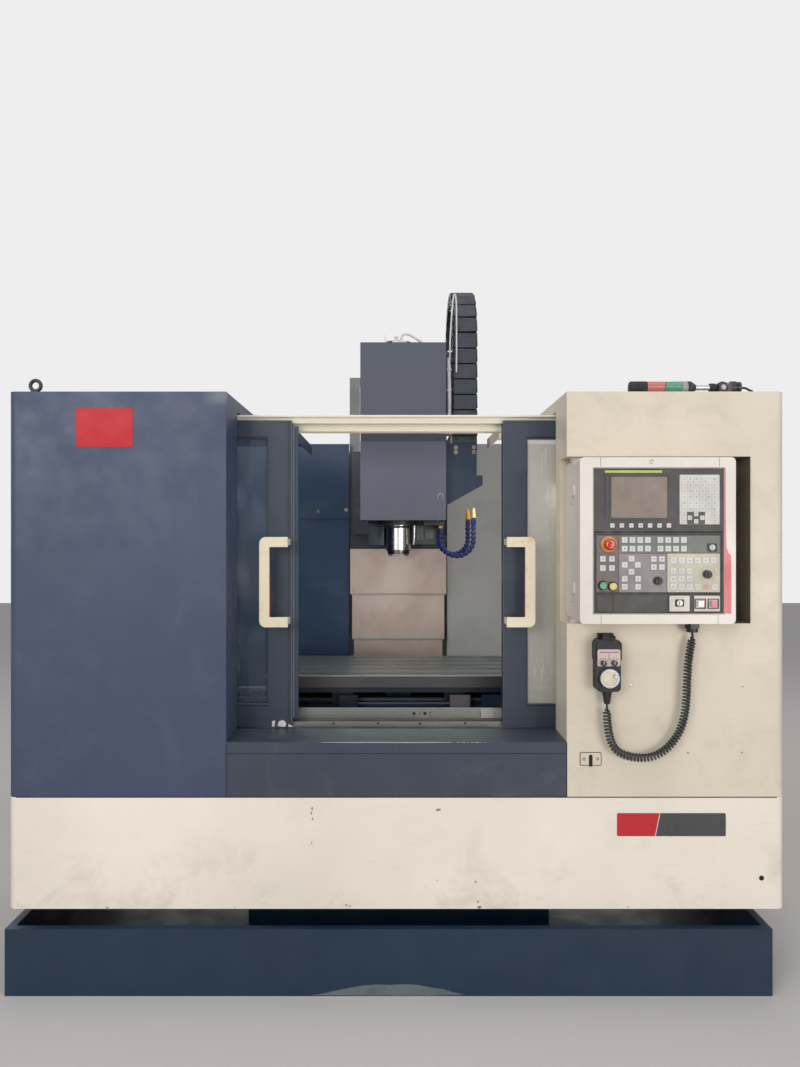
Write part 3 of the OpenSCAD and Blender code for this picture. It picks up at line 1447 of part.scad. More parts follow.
// Key switch that locks the programs
module program_key() {
  color([0.7, 0.7, 0.7]) key_rotor(program_at, 0);
}

// Key switch of the power strip
module power_key() {
  color([0.7, 0.7, 0.7]) key_rotor(power_key_at, 2);
}

// Square push button on the power strip
module square_button(at) {
  half = square_button_w / 2;
  union() {
    rod_y(stem_r, at[0], at[1], unit_y - 8, unit_y + stem_l - 6);
    span([at[0] - half, unit_y - 13, at[1] - half], [at[0] + half, unit_y - 7, at[1] + half]);
  }
}

// White power-on button
module power_on_button() {
  color([0.9, 0.9, 0.88]) square_button(power_on_at);
}

// Red power-off button
module power_off_button() {
  color([0.8, 0.3, 0.35]) square_button(power_off_at);
}

wheel_front_y = wheel_y + 2 - wheel_t;
axis_knob_at = [wheel_x - 18, wheel_knob_z];
scale_knob_at = [wheel_x + 16, wheel_knob_z];
dial_at = [wheel_x, wheel_dial_z];
cord_at_y = -1070;

// Handwheel housing with its wider head and the strain relief below
module handwheel_body() {
  head_h = 72;
  color([0.08, 0.08, 0.09]) difference() {
    union() {
      translate([wheel_x - wheel_w / 2 + 4, front_y, wheel_z0]) rotate([90, 0, 0])
        linear_extrude(wheel_t) round_rect(wheel_w - 8, wheel_z1 - wheel_z0, 14);
      translate([wheel_x - wheel_w / 2, front_y - 6, wheel_z1 - head_h]) rotate([90, 0, 0])
        linear_extrude(wheel_t - 10) round_rect(wheel_w, head_h - 4, 12);
      translate([wheel_x, cord_at_y, cord_route[0][2]])
        cylinder(r1 = 9, r2 = 15, h = wheel_z0 - cord_route[0][2] + eps);
      span([wheel_x - 24, front_y - 20, wheel_z1 - eps], [wheel_x + 24, front_y, wheel_z1 + 16]);
    }
    for (p = [axis_knob_at, scale_knob_at])
      rod_y(4 + run_fit, p[0], p[1], wheel_front_y - eps, wheel_front_y + 21);
    rod_y(8 + run_fit, dial_at[0], dial_at[1], wheel_front_y - eps, wheel_front_y + 21);
  }
}

// Handwheel dial with a dished face and a finger knob
module handwheel_dial() {
  color([0.75, 0.76, 0.77]) difference() {
    union() {
      rod_y(dial_r, dial_at[0], dial_at[1], wheel_front_y - 14, wheel_front_y - gap);
      rod_y(8, dial_at[0], dial_at[1], wheel_front_y - eps, wheel_front_y + 20);
      rod_y(6, dial_at[0] + 17, dial_at[1] + 8, wheel_front_y - 22, wheel_front_y - 13);
    }
    rod_y(dial_r - 7, dial_at[0], dial_at[1], wheel_front_y - 15, wheel_front_y - 12);
  }
}

// Small selector knob of the handwheel
module selector_knob(at) {
  union() {
    rod_y(4, at[0], at[1], wheel_front_y - eps, wheel_front_y + 20);
    rod_y(9, at[0], at[1], wheel_front_y - 10, wheel_front_y - gap);
    span([at[0] - 1.5, wheel_front_y - 12, at[1] - 4], [at[0] + 1.5, wheel_front_y - 9, at[1] + 8]);
  }
}

// Axis selector
module axis_knob() {
  color([0.08, 0.08, 0.08]) selector_knob(axis_knob_at);
}

// Step size selector
module scale_knob() {
  color([0.08, 0.08, 0.08]) selector_knob(scale_knob_at);
}

// Direction of a route at point i, in the XZ plane
function route_dir(route, i) =
  let (a = route[max(i - 1, 0)], b = route[min(i + 1, len(route) - 1)])
  (b - a) / norm(b - a);

// Ring of points round the route at point i
function route_ring(route, i, r, sides) =
  let (t = route_dir(route, i), n = [t[2], 0, -t[0]])
  [for (k = [0 : sides - 1])
    route[i] + r * (cos(k * 360 / sides) * n + sin(k * 360 / sides) * [0, 1, 0])];

// Tube swept along a route
module route_tube(route, r, sides) {
  count = len(route);
  points = [for (i = [0 : count - 1]) each route_ring(route, i, r, sides)];
  walls = [for (i = [0 : count - 2]) for (k = [0 : sides - 1])
    [i * sides + k, i * sides + (k + 1) % sides,
     (i + 1) * sides + (k + 1) % sides, (i + 1) * sides + k]];
  first = [[for (k = [sides - 1 : -1 : 0]) k]];
  last = [[for (k = [0 : sides - 1]) (count - 1) * sides + k]];
  polyhedron(points = points, faces = concat(walls, first, last), convexity = 6);
}

// Curly cord from the handwheel to the pendant, as its outer tube
module handwheel_cord() {
  color([0.15, 0.17, 0.16]) route_tube(cord_route, cord_d / 2, cord_sides);
}

base_casting();
column_casting();
leveling_feet();
coolant_tank();
skirt();
left_cover();
right_cover();
sill_panel();
front_beam();
back_walls();
chip_pan();
door_tracks();
linear_rails();
axis_motors();
electrical_cabinet();
cabinet_door();
roof_fittings();
signal_tower();
tool_magazine();
magazine_disc();
y_ballscrew();
saddle();
x_ballscrew();
x_motor();
table();
z_ballscrew();
head_casting();
head_covers();
spindle_cartridge();
spindle_shaft();
spindle_motor();
coolant_hoses();
drag_chain();
z_cover_upper();
z_cover_middle();
z_cover_lower();
door_left();
door_left_glass();
door_left_handle();
door_right();
door_right_glass();
door_right_handle();
pendant_box();
controller_unit();
panel_keys();
operator_panel();
e_stop();
start_button();
hold_button();
mode_knob();
feed_knob();
program_key();
power_key();
power_on_button();
power_off_button();
handwheel_body();
handwheel_dial();
axis_knob();
scale_knob();
handwheel_cord();
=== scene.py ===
"""Looks of a vertical machining centre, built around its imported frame, in millimetres."""
import random
from math import atan2, cos, pi, radians, sin, sqrt

import bmesh
import bpy
from mathutils import Matrix, Vector


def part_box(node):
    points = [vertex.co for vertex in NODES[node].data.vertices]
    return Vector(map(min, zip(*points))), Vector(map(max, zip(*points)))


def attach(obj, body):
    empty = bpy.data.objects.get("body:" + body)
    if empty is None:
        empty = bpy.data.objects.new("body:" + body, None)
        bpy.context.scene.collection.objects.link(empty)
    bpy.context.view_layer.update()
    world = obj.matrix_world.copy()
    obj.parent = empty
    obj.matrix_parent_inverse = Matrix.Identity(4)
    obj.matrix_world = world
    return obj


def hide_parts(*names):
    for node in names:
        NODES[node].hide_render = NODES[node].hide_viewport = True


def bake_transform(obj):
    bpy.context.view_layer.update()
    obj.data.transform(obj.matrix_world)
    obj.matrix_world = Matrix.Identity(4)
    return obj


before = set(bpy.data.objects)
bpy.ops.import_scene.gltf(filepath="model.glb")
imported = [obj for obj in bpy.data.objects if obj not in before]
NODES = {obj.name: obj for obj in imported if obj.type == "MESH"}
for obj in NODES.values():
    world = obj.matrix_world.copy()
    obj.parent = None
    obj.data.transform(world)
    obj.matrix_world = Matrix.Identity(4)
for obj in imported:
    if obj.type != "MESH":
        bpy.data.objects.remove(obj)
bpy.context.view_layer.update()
MM = 0.001


def corners(node):
  """Lowest and highest corner of a CAD node, in millimetres."""
  low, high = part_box(node)
  return low / MM, high / MM


# Camera at the photograph's place: 1454 mm up, 2574 mm in front of the enclosure
PHOTO_W, PHOTO_H = 800, 1067
EYE_Y, EYE_Z = -3614, 1454
HORIZON_X, HORIZON_Y = 396.5, 537
LENS, SENSOR = 27, 36

view = bpy.data.cameras.new("view")
view.lens = LENS
view.sensor_width = SENSOR
view.clip_end = 50
view.shift_x = (PHOTO_W / 2 - HORIZON_X) / PHOTO_H
view.shift_y = (HORIZON_Y - PHOTO_H / 2) / PHOTO_H
eye = bpy.data.objects.new("view", view)
eye.location = (0, EYE_Y * MM, EYE_Z * MM)
eye.rotation_euler = (radians(90), 0, 0)
bpy.context.scene.collection.objects.link(eye)
bpy.context.scene.camera = eye
bpy.context.scene.view_settings.view_transform = "Standard"


def linear(r, g, b):
  """A colour of the eye's 0 to 255 scale as linear light."""
  return tuple((c / 255 / 12.92) if c <= 10 else ((c / 255 + 0.055) / 1.055) ** 2.4
      for c in (r, g, b)) + (1,)


class Nodes:
  """Shader nodes of one tree. Each step makes a node and returns its output socket."""

  def __init__(self, tree):
    self.tree = tree

  def node(self, kind, inputs=(), **settings):
    made = self.tree.nodes.new(kind)
    for key, value in settings.items():
      setattr(made, key, value)
    for key, value in dict(inputs).items():
      self.put(made.inputs[key], value)
    return made

  def put(self, socket, value):
    if isinstance(value, bpy.types.NodeSocket):
      self.tree.links.new(value, socket)
    else:
      socket.default_value = value

  def math(self, operation, a, b=0):
    return self.node("ShaderNodeMath", {0: a, 1: b}, operation=operation).outputs[0]

  def times(self, a, b):
    return self.math("MULTIPLY", a, b)


class Material(Nodes):
  """A node material over the object's own coordinates."""

  def __init__(self, name):
    self.data = bpy.data.materials.new(name)
    self.data.use_nodes = True
    super().__init__(self.data.node_tree)
    self.shader = self.tree.nodes["Principled BSDF"]
    self.place = self.node("ShaderNodeTexCoord").outputs["Object"]

  def set(self, **values):
    """Shader inputs by name, with _ for a space."""
    for key, value in values.items():
      self.put(self.shader.inputs[key.replace("_", " ")], value)
    return self

  def scaled(self, x, y, z):
    """The object's own coordinates in metres, stretched along each axis."""
    return self.node("ShaderNodeMapping", {"Vector": self.place, "Scale": (x, y, z)}).outputs[0]

  def noise(self, scale, detail=4, rough=0.55, at=None, warp=0):
    inputs = {"Vector": at or self.place, "Scale": scale, "Detail": detail, "Roughness": rough,
        "Distortion": warp}
    return self.node("ShaderNodeTexNoise", inputs).outputs["Fac"]

  def cells(self, scale):
    return self.node("ShaderNodeTexVoronoi", {"Vector": self.place, "Scale": scale}).outputs["Distance"]

  def span(self, value, low, high, to_low=0, to_high=1):
    """Maps low..high of a value to to_low..to_high, held at the ends."""
    inputs = {"Value": value, "From Min": low, "From Max": high, "To Min": to_low, "To Max": to_high}
    return self.node("ShaderNodeMapRange", inputs, clamp=True).outputs[0]

  def axis(self, name):
    """One coordinate, in metres."""
    return self.node("ShaderNodeSeparateXYZ", {0: self.place}).outputs[name]

  def mix(self, factor, a, b):
    return self.node("ShaderNodeMix", {0: factor, 6: a, 7: b}, data_type="RGBA").outputs[2]

  def mottle(self, value, low, high, rgb, dark, light):
    """A colour between its dark and its light shade, as a value goes from low to high."""
    base = linear(*rgb)
    return self.mix(self.span(value, low, high), shade(base, dark), shade(base, light))

  def bump(self, height, strength, distance=0.001, normal=None):
    inputs = {"Height": height, "Strength": strength, "Distance": distance}
    if normal is not None:
      inputs["Normal"] = normal
    return self.node("ShaderNodeBump", inputs).outputs[0]


SOFT = (0.002, 0.002, 0.002)


def shade(colour, amount):
  return tuple(max(0, min(1, c * amount)) for c in colour[:3]) + (1,)


def inside(m, low, high, soft=SOFT):
  """1 inside a box of the object's own space in metres, 0 outside, with soft borders."""
  within = 1
  for name, a, b, fade in zip("XYZ", low, high, soft):
    place = m.axis(name)
    within = m.times(m.span(place, a - fade, a), within)
    within = m.times(m.span(place, b, b + fade, 1, 0), within)
  return within


def paint(name, rgb, rough=0.42, dirt=0.25, dirt_rgb=(96, 84, 70), coat=0, low=None, high=None, zone=None,
    zone_rgb=None, zone_soft=SOFT):
  """Sprayed paint: orange peel, faint cloudiness, fine scratches, and dirt that gathers between low and high.

  Inside the zone, a box in metres, the paint has another colour.
  """
  m = Material(name)
  cloud = m.noise(1.7, 5)
  colour = m.mottle(cloud, 0.35, 0.68, rgb, 0.93, 1.05)
  if zone:
    colour = m.mix(inside(m, *zone, zone_soft), colour, m.mottle(cloud, 0.35, 0.68, zone_rgb, 0.93, 1.05))
  smudge = m.span(m.noise(5.5, 7, 0.65, warp=0.6), 0.52, 0.74)
  if low is not None:
    smudge = m.times(smudge, m.span(m.axis("Z"), low * MM, high * MM, 1, 0.12))
  grime = linear(*dirt_rgb)
  colour = m.mix(m.times(smudge, dirt), colour, grime)
  lines = m.span(m.noise(9, 3, 0.5, m.scaled(1, 1, 38)), 0.7, 0.74)
  specks = m.span(m.cells(34), 0.035, 0.02)
  marks = m.math("MAXIMUM", m.times(lines, 0.16), m.times(specks, dirt))
  colour = m.mix(marks, colour, shade(grime, 0.8))
  gloss = m.span(m.noise(11, 6), 0.3, 0.7, rough - 0.07, rough + 0.11)
  peel = m.bump(m.noise(620, 2), 0.12, 0.0004)
  normal = m.bump(m.noise(2.3, 2), 0.1, 0.004, peel)
  m.set(Base_Color=colour, Roughness=gloss, Normal=normal, Coat_Weight=coat, Coat_Roughness=0.18)
  return m.data


def casting(name, rgb, rough=0.5, oil=0.5):
  """Painted or bare casting: sand-cast grain, oil film and darker hollows."""
  m = Material(name)
  colour = m.mottle(m.noise(4, 7, 0.6), 0.35, 0.7, rgb, 0.8, 1.12)
  film = m.span(m.noise(7, 5, 0.6, warp=1.2), 0.5, 0.68)
  colour = m.mix(m.times(film, oil), colour, shade(linear(*rgb), 0.35))
  grain = m.math("ADD", m.noise(210, 5, 0.6), m.times(m.cells(130), 0.5))
  gloss = m.mix(film, (rough + 0.08,) * 3 + (1,), (rough - 0.22,) * 3 + (1,))
  m.set(Base_Color=colour, Roughness=gloss, Normal=m.bump(grain, 0.28, 0.0008))
  return m.data


def ground(m, lines, blotch, low, high):
  """Roughness of metal with machined lines and stains."""
  return m.span(m.math("ADD", lines, m.times(blotch, 0.4)), 0.3, 1, low, high)


def brushed(name, rgb, rough=0.32, along=(1, 1, 60), stain=0, stain_rgb=(120, 92, 74), metal=1, zone=None,
    zone_rgb=None):
  """Brushed, rolled or ground metal, lined across the stretched axis and painted over inside the zone."""
  m = Material(name)
  lines = m.noise(26, 5, 0.65, m.scaled(*along))
  colour = m.mottle(lines, 0.3, 0.7, rgb, 0.86, 1.08)
  blotch = m.span(m.noise(3.1, 8, 0.62, warp=0.9), 0.42, 0.68)
  if stain:
    colour = m.mix(m.times(blotch, stain), colour, linear(*stain_rgb))
  if zone:
    cover = inside(m, *zone)
    colour = m.mix(cover, colour, m.mottle(lines, 0.3, 0.7, zone_rgb, 0.95, 1.04))
    metal = m.span(cover, 0, 1, metal, 0)
  gloss = ground(m, lines, blotch, rough - 0.08, rough + 0.18)
  m.set(Base_Color=colour, Metallic=metal, Roughness=gloss, Normal=m.bump(lines, 0.1, 0.0005))
  return m.data


def plastic(name, rgb, rough=0.45, grain=0.2, dust=0.12, coat=0, dust_rgb=(150, 146, 138), scale=900):
  """Moulded plastic with spark-eroded texture and a little dust."""
  m = Material(name)
  colour = m.mottle(m.noise(14, 5), 0.35, 0.7, rgb, 0.9, 1.1)
  settle = m.span(m.noise(24, 6, 0.65), 0.55, 0.75)
  colour = m.mix(m.times(settle, dust), colour, linear(*dust_rgb))
  gloss = m.span(m.noise(30, 4), 0.3, 0.7, rough - 0.06, rough + 0.1)
  m.set(Base_Color=colour, Roughness=gloss, Normal=m.bump(m.noise(scale, 2), grain, 0.0003),
      Coat_Weight=coat, Coat_Roughness=0.1)
  return m.data


def around(sides):
  return [2 * pi * k / sides for k in range(sides)]


CREASE = radians(35)


class Piece:
  """A mesh piece in millimetres on one CAD body, made of worked forms. finish_pieces() sets it up."""

  begun = []

  def __init__(self, name, body, slot, *skins, stands_for=(), blend=None):
    self.name, self.body, self.slot, self.skins = name, body, slot, skins
    self.stands_for, self.blend = stands_for, blend
    self.bm = bmesh.new()
    self.skin = 0
    Piece.begun.append(self)

  def paint(self, index):
    """The material index of what is added next."""
    self.skin = index
    return self

  def face(self, verts):
    self.bm.faces.new(verts).material_index = self.skin

  def rings(self, rings):
    """Joins rings of points, each a list of the same length, into a closed skin."""
    rows = [[self.bm.verts.new(Vector(p) * MM) for p in ring] for ring in rings]
    for a, b in zip(rows, rows[1:]):
      n = len(a)
      for i in range(n):
        j = (i + 1) % n
        self.face([a[i], a[j], b[j], b[i]])
    self.face(rows[0][::-1])
    self.face(rows[-1])
    return self

  def box(self, low, high, bevel=0):
    """A block between two corners, with its edges broken by bevel."""
    x0, y0, z0 = low
    x1, y1, z1 = high
    b = min(bevel, (x1 - x0) / 2.01, (y1 - y0) / 2.01, (z1 - z0) / 2.01)

    def ring(z, i):
      return [(x0 + b, y0 + i, z), (x1 - b, y0 + i, z), (x1 - i, y0 + b, z), (x1 - i, y1 - b, z),
          (x1 - b, y1 - i, z), (x0 + b, y1 - i, z), (x0 + i, y1 - b, z), (x0 + i, y0 + b, z)]

    if b <= 0:
      return self.rings([[(x0, y0, z), (x1, y0, z), (x1, y1, z), (x0, y1, z)] for z in (z0, z1)])
    return self.rings([ring(z0, b), ring(z0 + b, 0), ring(z1 - b, 0), ring(z1, b)])

  def turned(self, profile, at, axis, sides):
    """Turns a profile of (radius, height) points about an axis through a point."""
    i = "XYZ".index(axis[-1])
    w, u, v = (Vector(Matrix.Identity(3)[(i + k) % 3]) for k in range(3))
    if axis[0] == "-":
      u, v, w = v, u, -w
    at = Vector(at)
    return self.rings([[at + w * h + (u * cos(a) + v * sin(a)) * r for a in around(sides)]
        for r, h in profile])

  def screw(self, at, r=5, axis="-Y", high=3, slot=True):
    """A pan-head or socket screw whose head stands on a face."""
    rim = high * 0.4
    self.turned([(r, -0.4), (r, high - rim), (r - rim, high), (r * 0.5, high),
        (r * 0.42, high - rim * 1.6)], at, axis, 20 if slot else 6)
    return self

  def tube(self, points, radius, sides):
    """A round tube along points, with its frame carried smoothly; radius may be a list."""
    pts = [Vector(p) for p in points]
    radii = radius if hasattr(radius, "__len__") else [radius] * len(pts)
    aim = [(pts[min(i + 1, len(pts) - 1)] - pts[max(i - 1, 0)]).normalized() for i in range(len(pts))]
    side = aim[0].orthogonal().normalized()
    rings = []
    for p, d, r in zip(pts, aim, radii):
      side = (side - d * side.dot(d)).normalized()
      other = d.cross(side)
      rings.append([p + (side * cos(a) + other * sin(a)) * r for a in around(sides)])
    return self.rings(rings)

  def slab(self, outline, axis, start, end, bevel=0):
    """A plate: an outline of two coordinates, swept along the third axis from start to end."""
    n = len(outline)
    put = {"X": lambda a, b, c: (c, a, b), "Y": lambda a, b, c: (a, c, b)}[axis]
    area = sum(outline[i][0] * outline[(i + 1) % n][1] - outline[(i + 1) % n][0] * outline[i][1]
        for i in range(n))
    turn = 1 if area > 0 else -1

    def inset(d):
      made = []
      for i in range(n):
        a, b, c = Vector(outline[i - 1]), Vector(outline[i]), Vector(outline[(i + 1) % n])
        e, f = (b - a).normalized(), (c - b).normalized()
        normal = Vector((-(e.y + f.y), e.x + f.x)) * turn
        bend = max(0.3, sqrt(max(0, (1 + e.dot(f)) / 2)))
        made.append(b + (normal.normalized() * d / bend if normal.length > 1e-6 else Vector((0, 0))))
      return made

    step = bevel if end > start else -bevel
    levels = [(start, bevel), (start + step, 0), (end - step, 0), (end, bevel)] if bevel else [(start, 0),
        (end, 0)]
    return self.rings([[put(p[0], p[1], c) for p in inset(d)] for c, d in levels])

  def finish(self):
    """Closes the mesh, shades it, and sets it on its CAD body."""
    bm = self.bm
    bmesh.ops.remove_doubles(bm, verts=bm.verts, dist=1e-6)
    bmesh.ops.recalc_face_normals(bm, faces=bm.faces)
    for e in bm.edges:
      e.smooth = len(e.link_faces) == 2 and e.calc_face_angle(pi) < CREASE
    for f in bm.faces:
      f.smooth = True
    mesh = bpy.data.meshes.new(self.name)
    bm.to_mesh(mesh)
    bm.free()
    made = bpy.data.objects.new(self.name, mesh)
    bpy.context.scene.collection.objects.link(made)
    for skin in self.skins:
      mesh.materials.append(skin)
    if self.blend:
      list(self.blend)
      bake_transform(made)
    else:
      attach(made, self.body)
    if self.stands_for:
      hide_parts(*self.stands_for)
    self.made = made


def finish_pieces():
  for piece in Piece.begun:
    piece.finish()
  Piece.begun.clear()


def rounded(x0, z0, x1, z1, r, steps=5):
  """Outline of a rectangle with round corners, counter-clockwise."""
  made = []
  for cx, cz, start in ((x1 - r, z0 + r, -90), (x1 - r, z1 - r, 0), (x0 + r, z1 - r, 90),
      (x0 + r, z0 + r, 180)):
    for k in range(steps + 1):
      a = radians(start + 90 * k / steps)
      made.append((cx + r * cos(a), cz + r * sin(a)))
  return made


def dress(skin, *nodes):
  """Gives CAD nodes their material, and hands it back."""
  for node in nodes:
    slots = NODES[node].data.materials
    slots.clear()
    slots.append(skin)
  return skin


# Handwheel cord: a helix wound round the route of its CAD tube
CORD_Y = -1.07
CORD_ROUTE = [(x, CORD_Y, z) for x, z in ((0.669, 0.924), (0.669, 0.89), (0.672, 0.85), (0.682, 0.805),
    (0.7, 0.776), (0.73, 0.759), (0.772, 0.752), (0.812, 0.756), (0.846, 0.772), (0.874, 0.798),
    (0.896, 0.83), (0.91, 0.866), (0.918, 0.906), (0.922, 0.95), (0.924, 1), (0.927, 1.05), (0.933, 1.096),
    (0.94, 1.13), (0.94, 1.152))]
CORD_D = 28
WIRE_D = 7.5
COIL_PITCH = 10.5
COIL_LEAD = 26


def smooth_line(points, step):
  """Evenly spaced points along a Catmull-Rom curve through the given ones."""
  pts = [Vector(p) for p in points]
  pts = [2 * pts[0] - pts[1]] + pts + [2 * pts[-1] - pts[-2]]
  fine = []
  for a, b, c, d in zip(pts, pts[1:], pts[2:], pts[3:]):
    for k in range(24):
      t = k / 24
      fine.append(0.5 * ((2 * b) + (c - a) * t + (2 * a - 5 * b + 4 * c - d) * t * t
          + (3 * b - a - 3 * c + d) * t ** 3))
  fine.append(pts[-2])
  total = sum((b - a).length for a, b in zip(fine, fine[1:]))
  count = max(2, round(total / step))
  made, gone, want = [fine[0]], 0, 1
  for a, b in zip(fine, fine[1:]):
    reach = (b - a).length
    while want < count and gone + reach >= want * total / count:
      made.append(a + (b - a) * ((want * total / count - gone) / reach))
      want += 1
    gone += reach
  return made + [fine[-1]], total


def coil_line():
  """The curly cord's own line, in millimetres: straight leads and a helix between them."""
  turn_steps = 18
  line, total = smooth_line([Vector(p) / MM for p in CORD_ROUTE], COIL_PITCH / turn_steps)
  radius = (CORD_D - WIRE_D) / 2 - 0.4
  made = []
  gone = 0
  side = Vector((0, 1, 0))
  for i, p in enumerate(line):
    aim = (line[min(i + 1, len(line) - 1)] - line[max(i - 1, 0)]).normalized()
    side = (side - aim * side.dot(aim)).normalized()
    other = aim.cross(side)
    ease = min(1, max(0, min(gone, total - gone) - 8) / COIL_LEAD)
    ease = ease * ease * (3 - 2 * ease)
    a = 2 * pi * gone / COIL_PITCH
    made.append(p + (side * cos(a) + other * sin(a)) * radius * ease)
    if i + 1 < len(line):
      gone += (line[i + 1] - p).length
  return made


cord_line = coil_line()

# Finishes, with the CAD nodes that wear them
dress(paint("skirt cream", (240, 231, 217), 0.38, 0.32, low=240, high=520), "skirt")
# Inside the recess round the pendant, the right cover's cream is painted a dark grey-brown: painted shade in
# the recess.
SHADED_RECESS = ((1, -1.036, 1.17), (1.142, -0.92, 1.718))
cream = dress(paint("cover cream", (222, 211, 191), 0.4, 0.14, zone=SHADED_RECESS, zone_rgb=(112, 104, 94)),
    "right_cover")
dress(paint("beam cream", (242, 236, 216), 0.45, 0.3), "front_beam")
RUBBED = ((-0.575, -1.05, 1.9), (-0.54, -1.03, 1.93))
slate = dress(paint("cover slate", (58, 69, 95), 0.45, 0.12, (126, 132, 146), zone=RUBBED,
    zone_rgb=(108, 114, 122), zone_soft=(0.06, 0.01, 0.025)), "left_cover")
# Inside the zone, the top of the sill is painted lighter: painted light falling on it from above.
dress(paint("sill slate", (54, 63, 76), 0.42, 0.22, (118, 120, 118),
    zone=((-0.16, -1.039, 0.793), (0.24, -0.86, 0.9)), zone_rgb=(92, 102, 104),
    zone_soft=(0.2, 0.002, 0.001)), "sill_panel")
door_slate = dress(paint("door slate", (45, 54, 70), 0.44, 0.12, (120, 118, 120)), "door_left",
    "door_right")
# Behind the tank's front wall, the navy is painted darker: painted shade inside the tank.
SHADED_TANK_INSIDE = ((-1.216, -1.054, -0.1), (1.166, 0.3, 0.209))
dress(paint("tank navy", (18, 45, 66), 0.4, 0.3, (40, 58, 70), low=0, high=150, zone=SHADED_TANK_INSIDE,
    zone_rgb=(10, 40, 58)), "coolant_tank")
dress(paint("wall navy", (42, 64, 90), 0.4, 0.25, (96, 108, 118)), "chip_pan")
dress(paint("wall paint", (42, 64, 90), 0.4, 0.25, (100, 108, 112), zone=((0, -2, -1), (2, 2, 3)),
    zone_rgb=(166, 165, 161)), "back_walls")
head_slate = dress(paint("head slate", (76, 80, 92), 0.42, 0.1, zone=((0.1925, -2, 0), (1, 2, 3)),
    zone_rgb=(26, 40, 56)), "head_covers")
dress(casting("head casting", (60, 68, 74), 0.36, 0.5), "head_casting")
dress(paint("column paint", (146, 146, 148), 0.45, 0.4, (100, 92, 84)), "column_casting")
cabinet_cream = dress(paint("cabinet cream", (214, 208, 192), 0.45, 0.15), "electrical_cabinet",
    "cabinet_door", "tool_magazine")
GLAND = ((0.9, -1.2, 1.1), (1, -0.9, 1.185))
dress(paint("pendant cream", (228, 219, 209), 0.34, 0.06, coat=0.08, zone=GLAND, zone_rgb=(30, 31, 33)),
    "pendant_box")
dress(paint("motor black", (38, 38, 41), 0.38, 0.3), "axis_motors", "x_motor", "spindle_motor",
    "roof_fittings")
dress(casting("base casting", (50, 64, 78), 0.5, 0.5), "base_casting")
dress(casting("saddle casting", (26, 44, 64), 0.45, 0.5), "saddle")
dress(brushed("feet steel", (96, 96, 98), 0.45), "leveling_feet")
dress(brushed("track sheet", (150, 152, 148), 0.36, (1, 40, 40), 0.5, (112, 104, 86),
    zone=((-2, -2, 1.8), (2, 2, 3)), zone_rgb=(240, 234, 214)), "door_tracks")
dress(brushed("rail steel", (186, 188, 190), 0.22, (1, 60, 60)), "linear_rails", "y_ballscrew",
    "x_ballscrew", "z_ballscrew")
nose_steel = dress(brushed("nose steel", (226, 224, 220), 0.12, (1, 1, 80)), "spindle_cartridge")
dark_steel = dress(brushed("dark steel", (92, 92, 94), 0.3), "spindle_shaft")
cover_stainless = dress(brushed("cover stainless", (212, 194, 182), 0.34, (60, 1, 1), 0.4, (176, 140, 120),
    0.6, zone=((-1, -1, 1.399), (1, 1, 2)), zone_rgb=(42, 50, 60)), "z_cover_upper", "z_cover_middle",
    "z_cover_lower")
dress(plastic("hose plastic", (34, 40, 92), 0.38, 0.2, 0.2), "coolant_hoses")
dress(plastic("chain plastic", (34, 36, 44), 0.5, 0.2, 0.3), "drag_chain")
unit_black = dress(plastic("unit plastic", (70, 69, 67), 0.5, 0.35, 0.1), "controller_unit",
    "operator_panel")
dress(plastic("key plastic", (214, 214, 212), 0.42, 0.2, 0.05), "panel_keys")
knob_black = dress(plastic("knob plastic", (24, 24, 25), 0.4, 0.2, 0.15), "mode_knob", "feed_knob",
    "axis_knob", "scale_knob", "magazine_disc", "signal_tower")
dress(plastic("handset plastic", (26, 27, 29), 0.5, 0.4, 0.25), "handwheel_body")
dress(plastic("stop red", (196, 34, 30), 0.25, 0.05, 0.06, 0.4), "e_stop")
dress(plastic("button green", (24, 146, 84), 0.25, 0.04, 0.05, 0.4), "start_button")
dress(plastic("button yellow", (206, 186, 52), 0.25, 0.04, 0.05, 0.4), "hold_button")
dress(plastic("button white", (232, 230, 224), 0.3, 0.05, 0.05, 0.3), "power_on_button")
dress(plastic("button rose", (206, 92, 100), 0.3, 0.05, 0.05, 0.3), "power_off_button")
dress(brushed("lock plating", (172, 172, 168), 0.42), "program_key", "power_key")
dial_silver = dress(brushed("dial silver", (192, 192, 194), 0.4), "handwheel_dial")
cord_rubber = dress(plastic("cord jacket", (58, 62, 60), 0.55, 0.15, 0.3), "handwheel_cord")
zinc = brushed("zinc screws", (176, 172, 160), 0.3, stain=0.3)
seal_black = plastic("seal rubber", (22, 22, 23), 0.62, 0.2, 0.3)
brass = brushed("brass", (190, 160, 96), 0.28, (1, 1, 60), 0.3, (120, 88, 44))
nozzle_orange = plastic("nozzle orange", (226, 150, 42), 0.4, 0.2, 0.15)
lens_red = plastic("lens red", (196, 112, 100), 0.2, 0.03, 0.3, 0.4)
lens_green = plastic("lens green", (78, 150, 122), 0.2, 0.03, 0.3, 0.4)
plate_red = paint("plate red", (192, 26, 38), 0.55, 0.06)
plate_grey = paint("plate grey", (70, 70, 72), 0.3, 0.1)
screen_mauve = plastic("screen film", (136, 119, 108), 0.42, 0.02, 0.12)


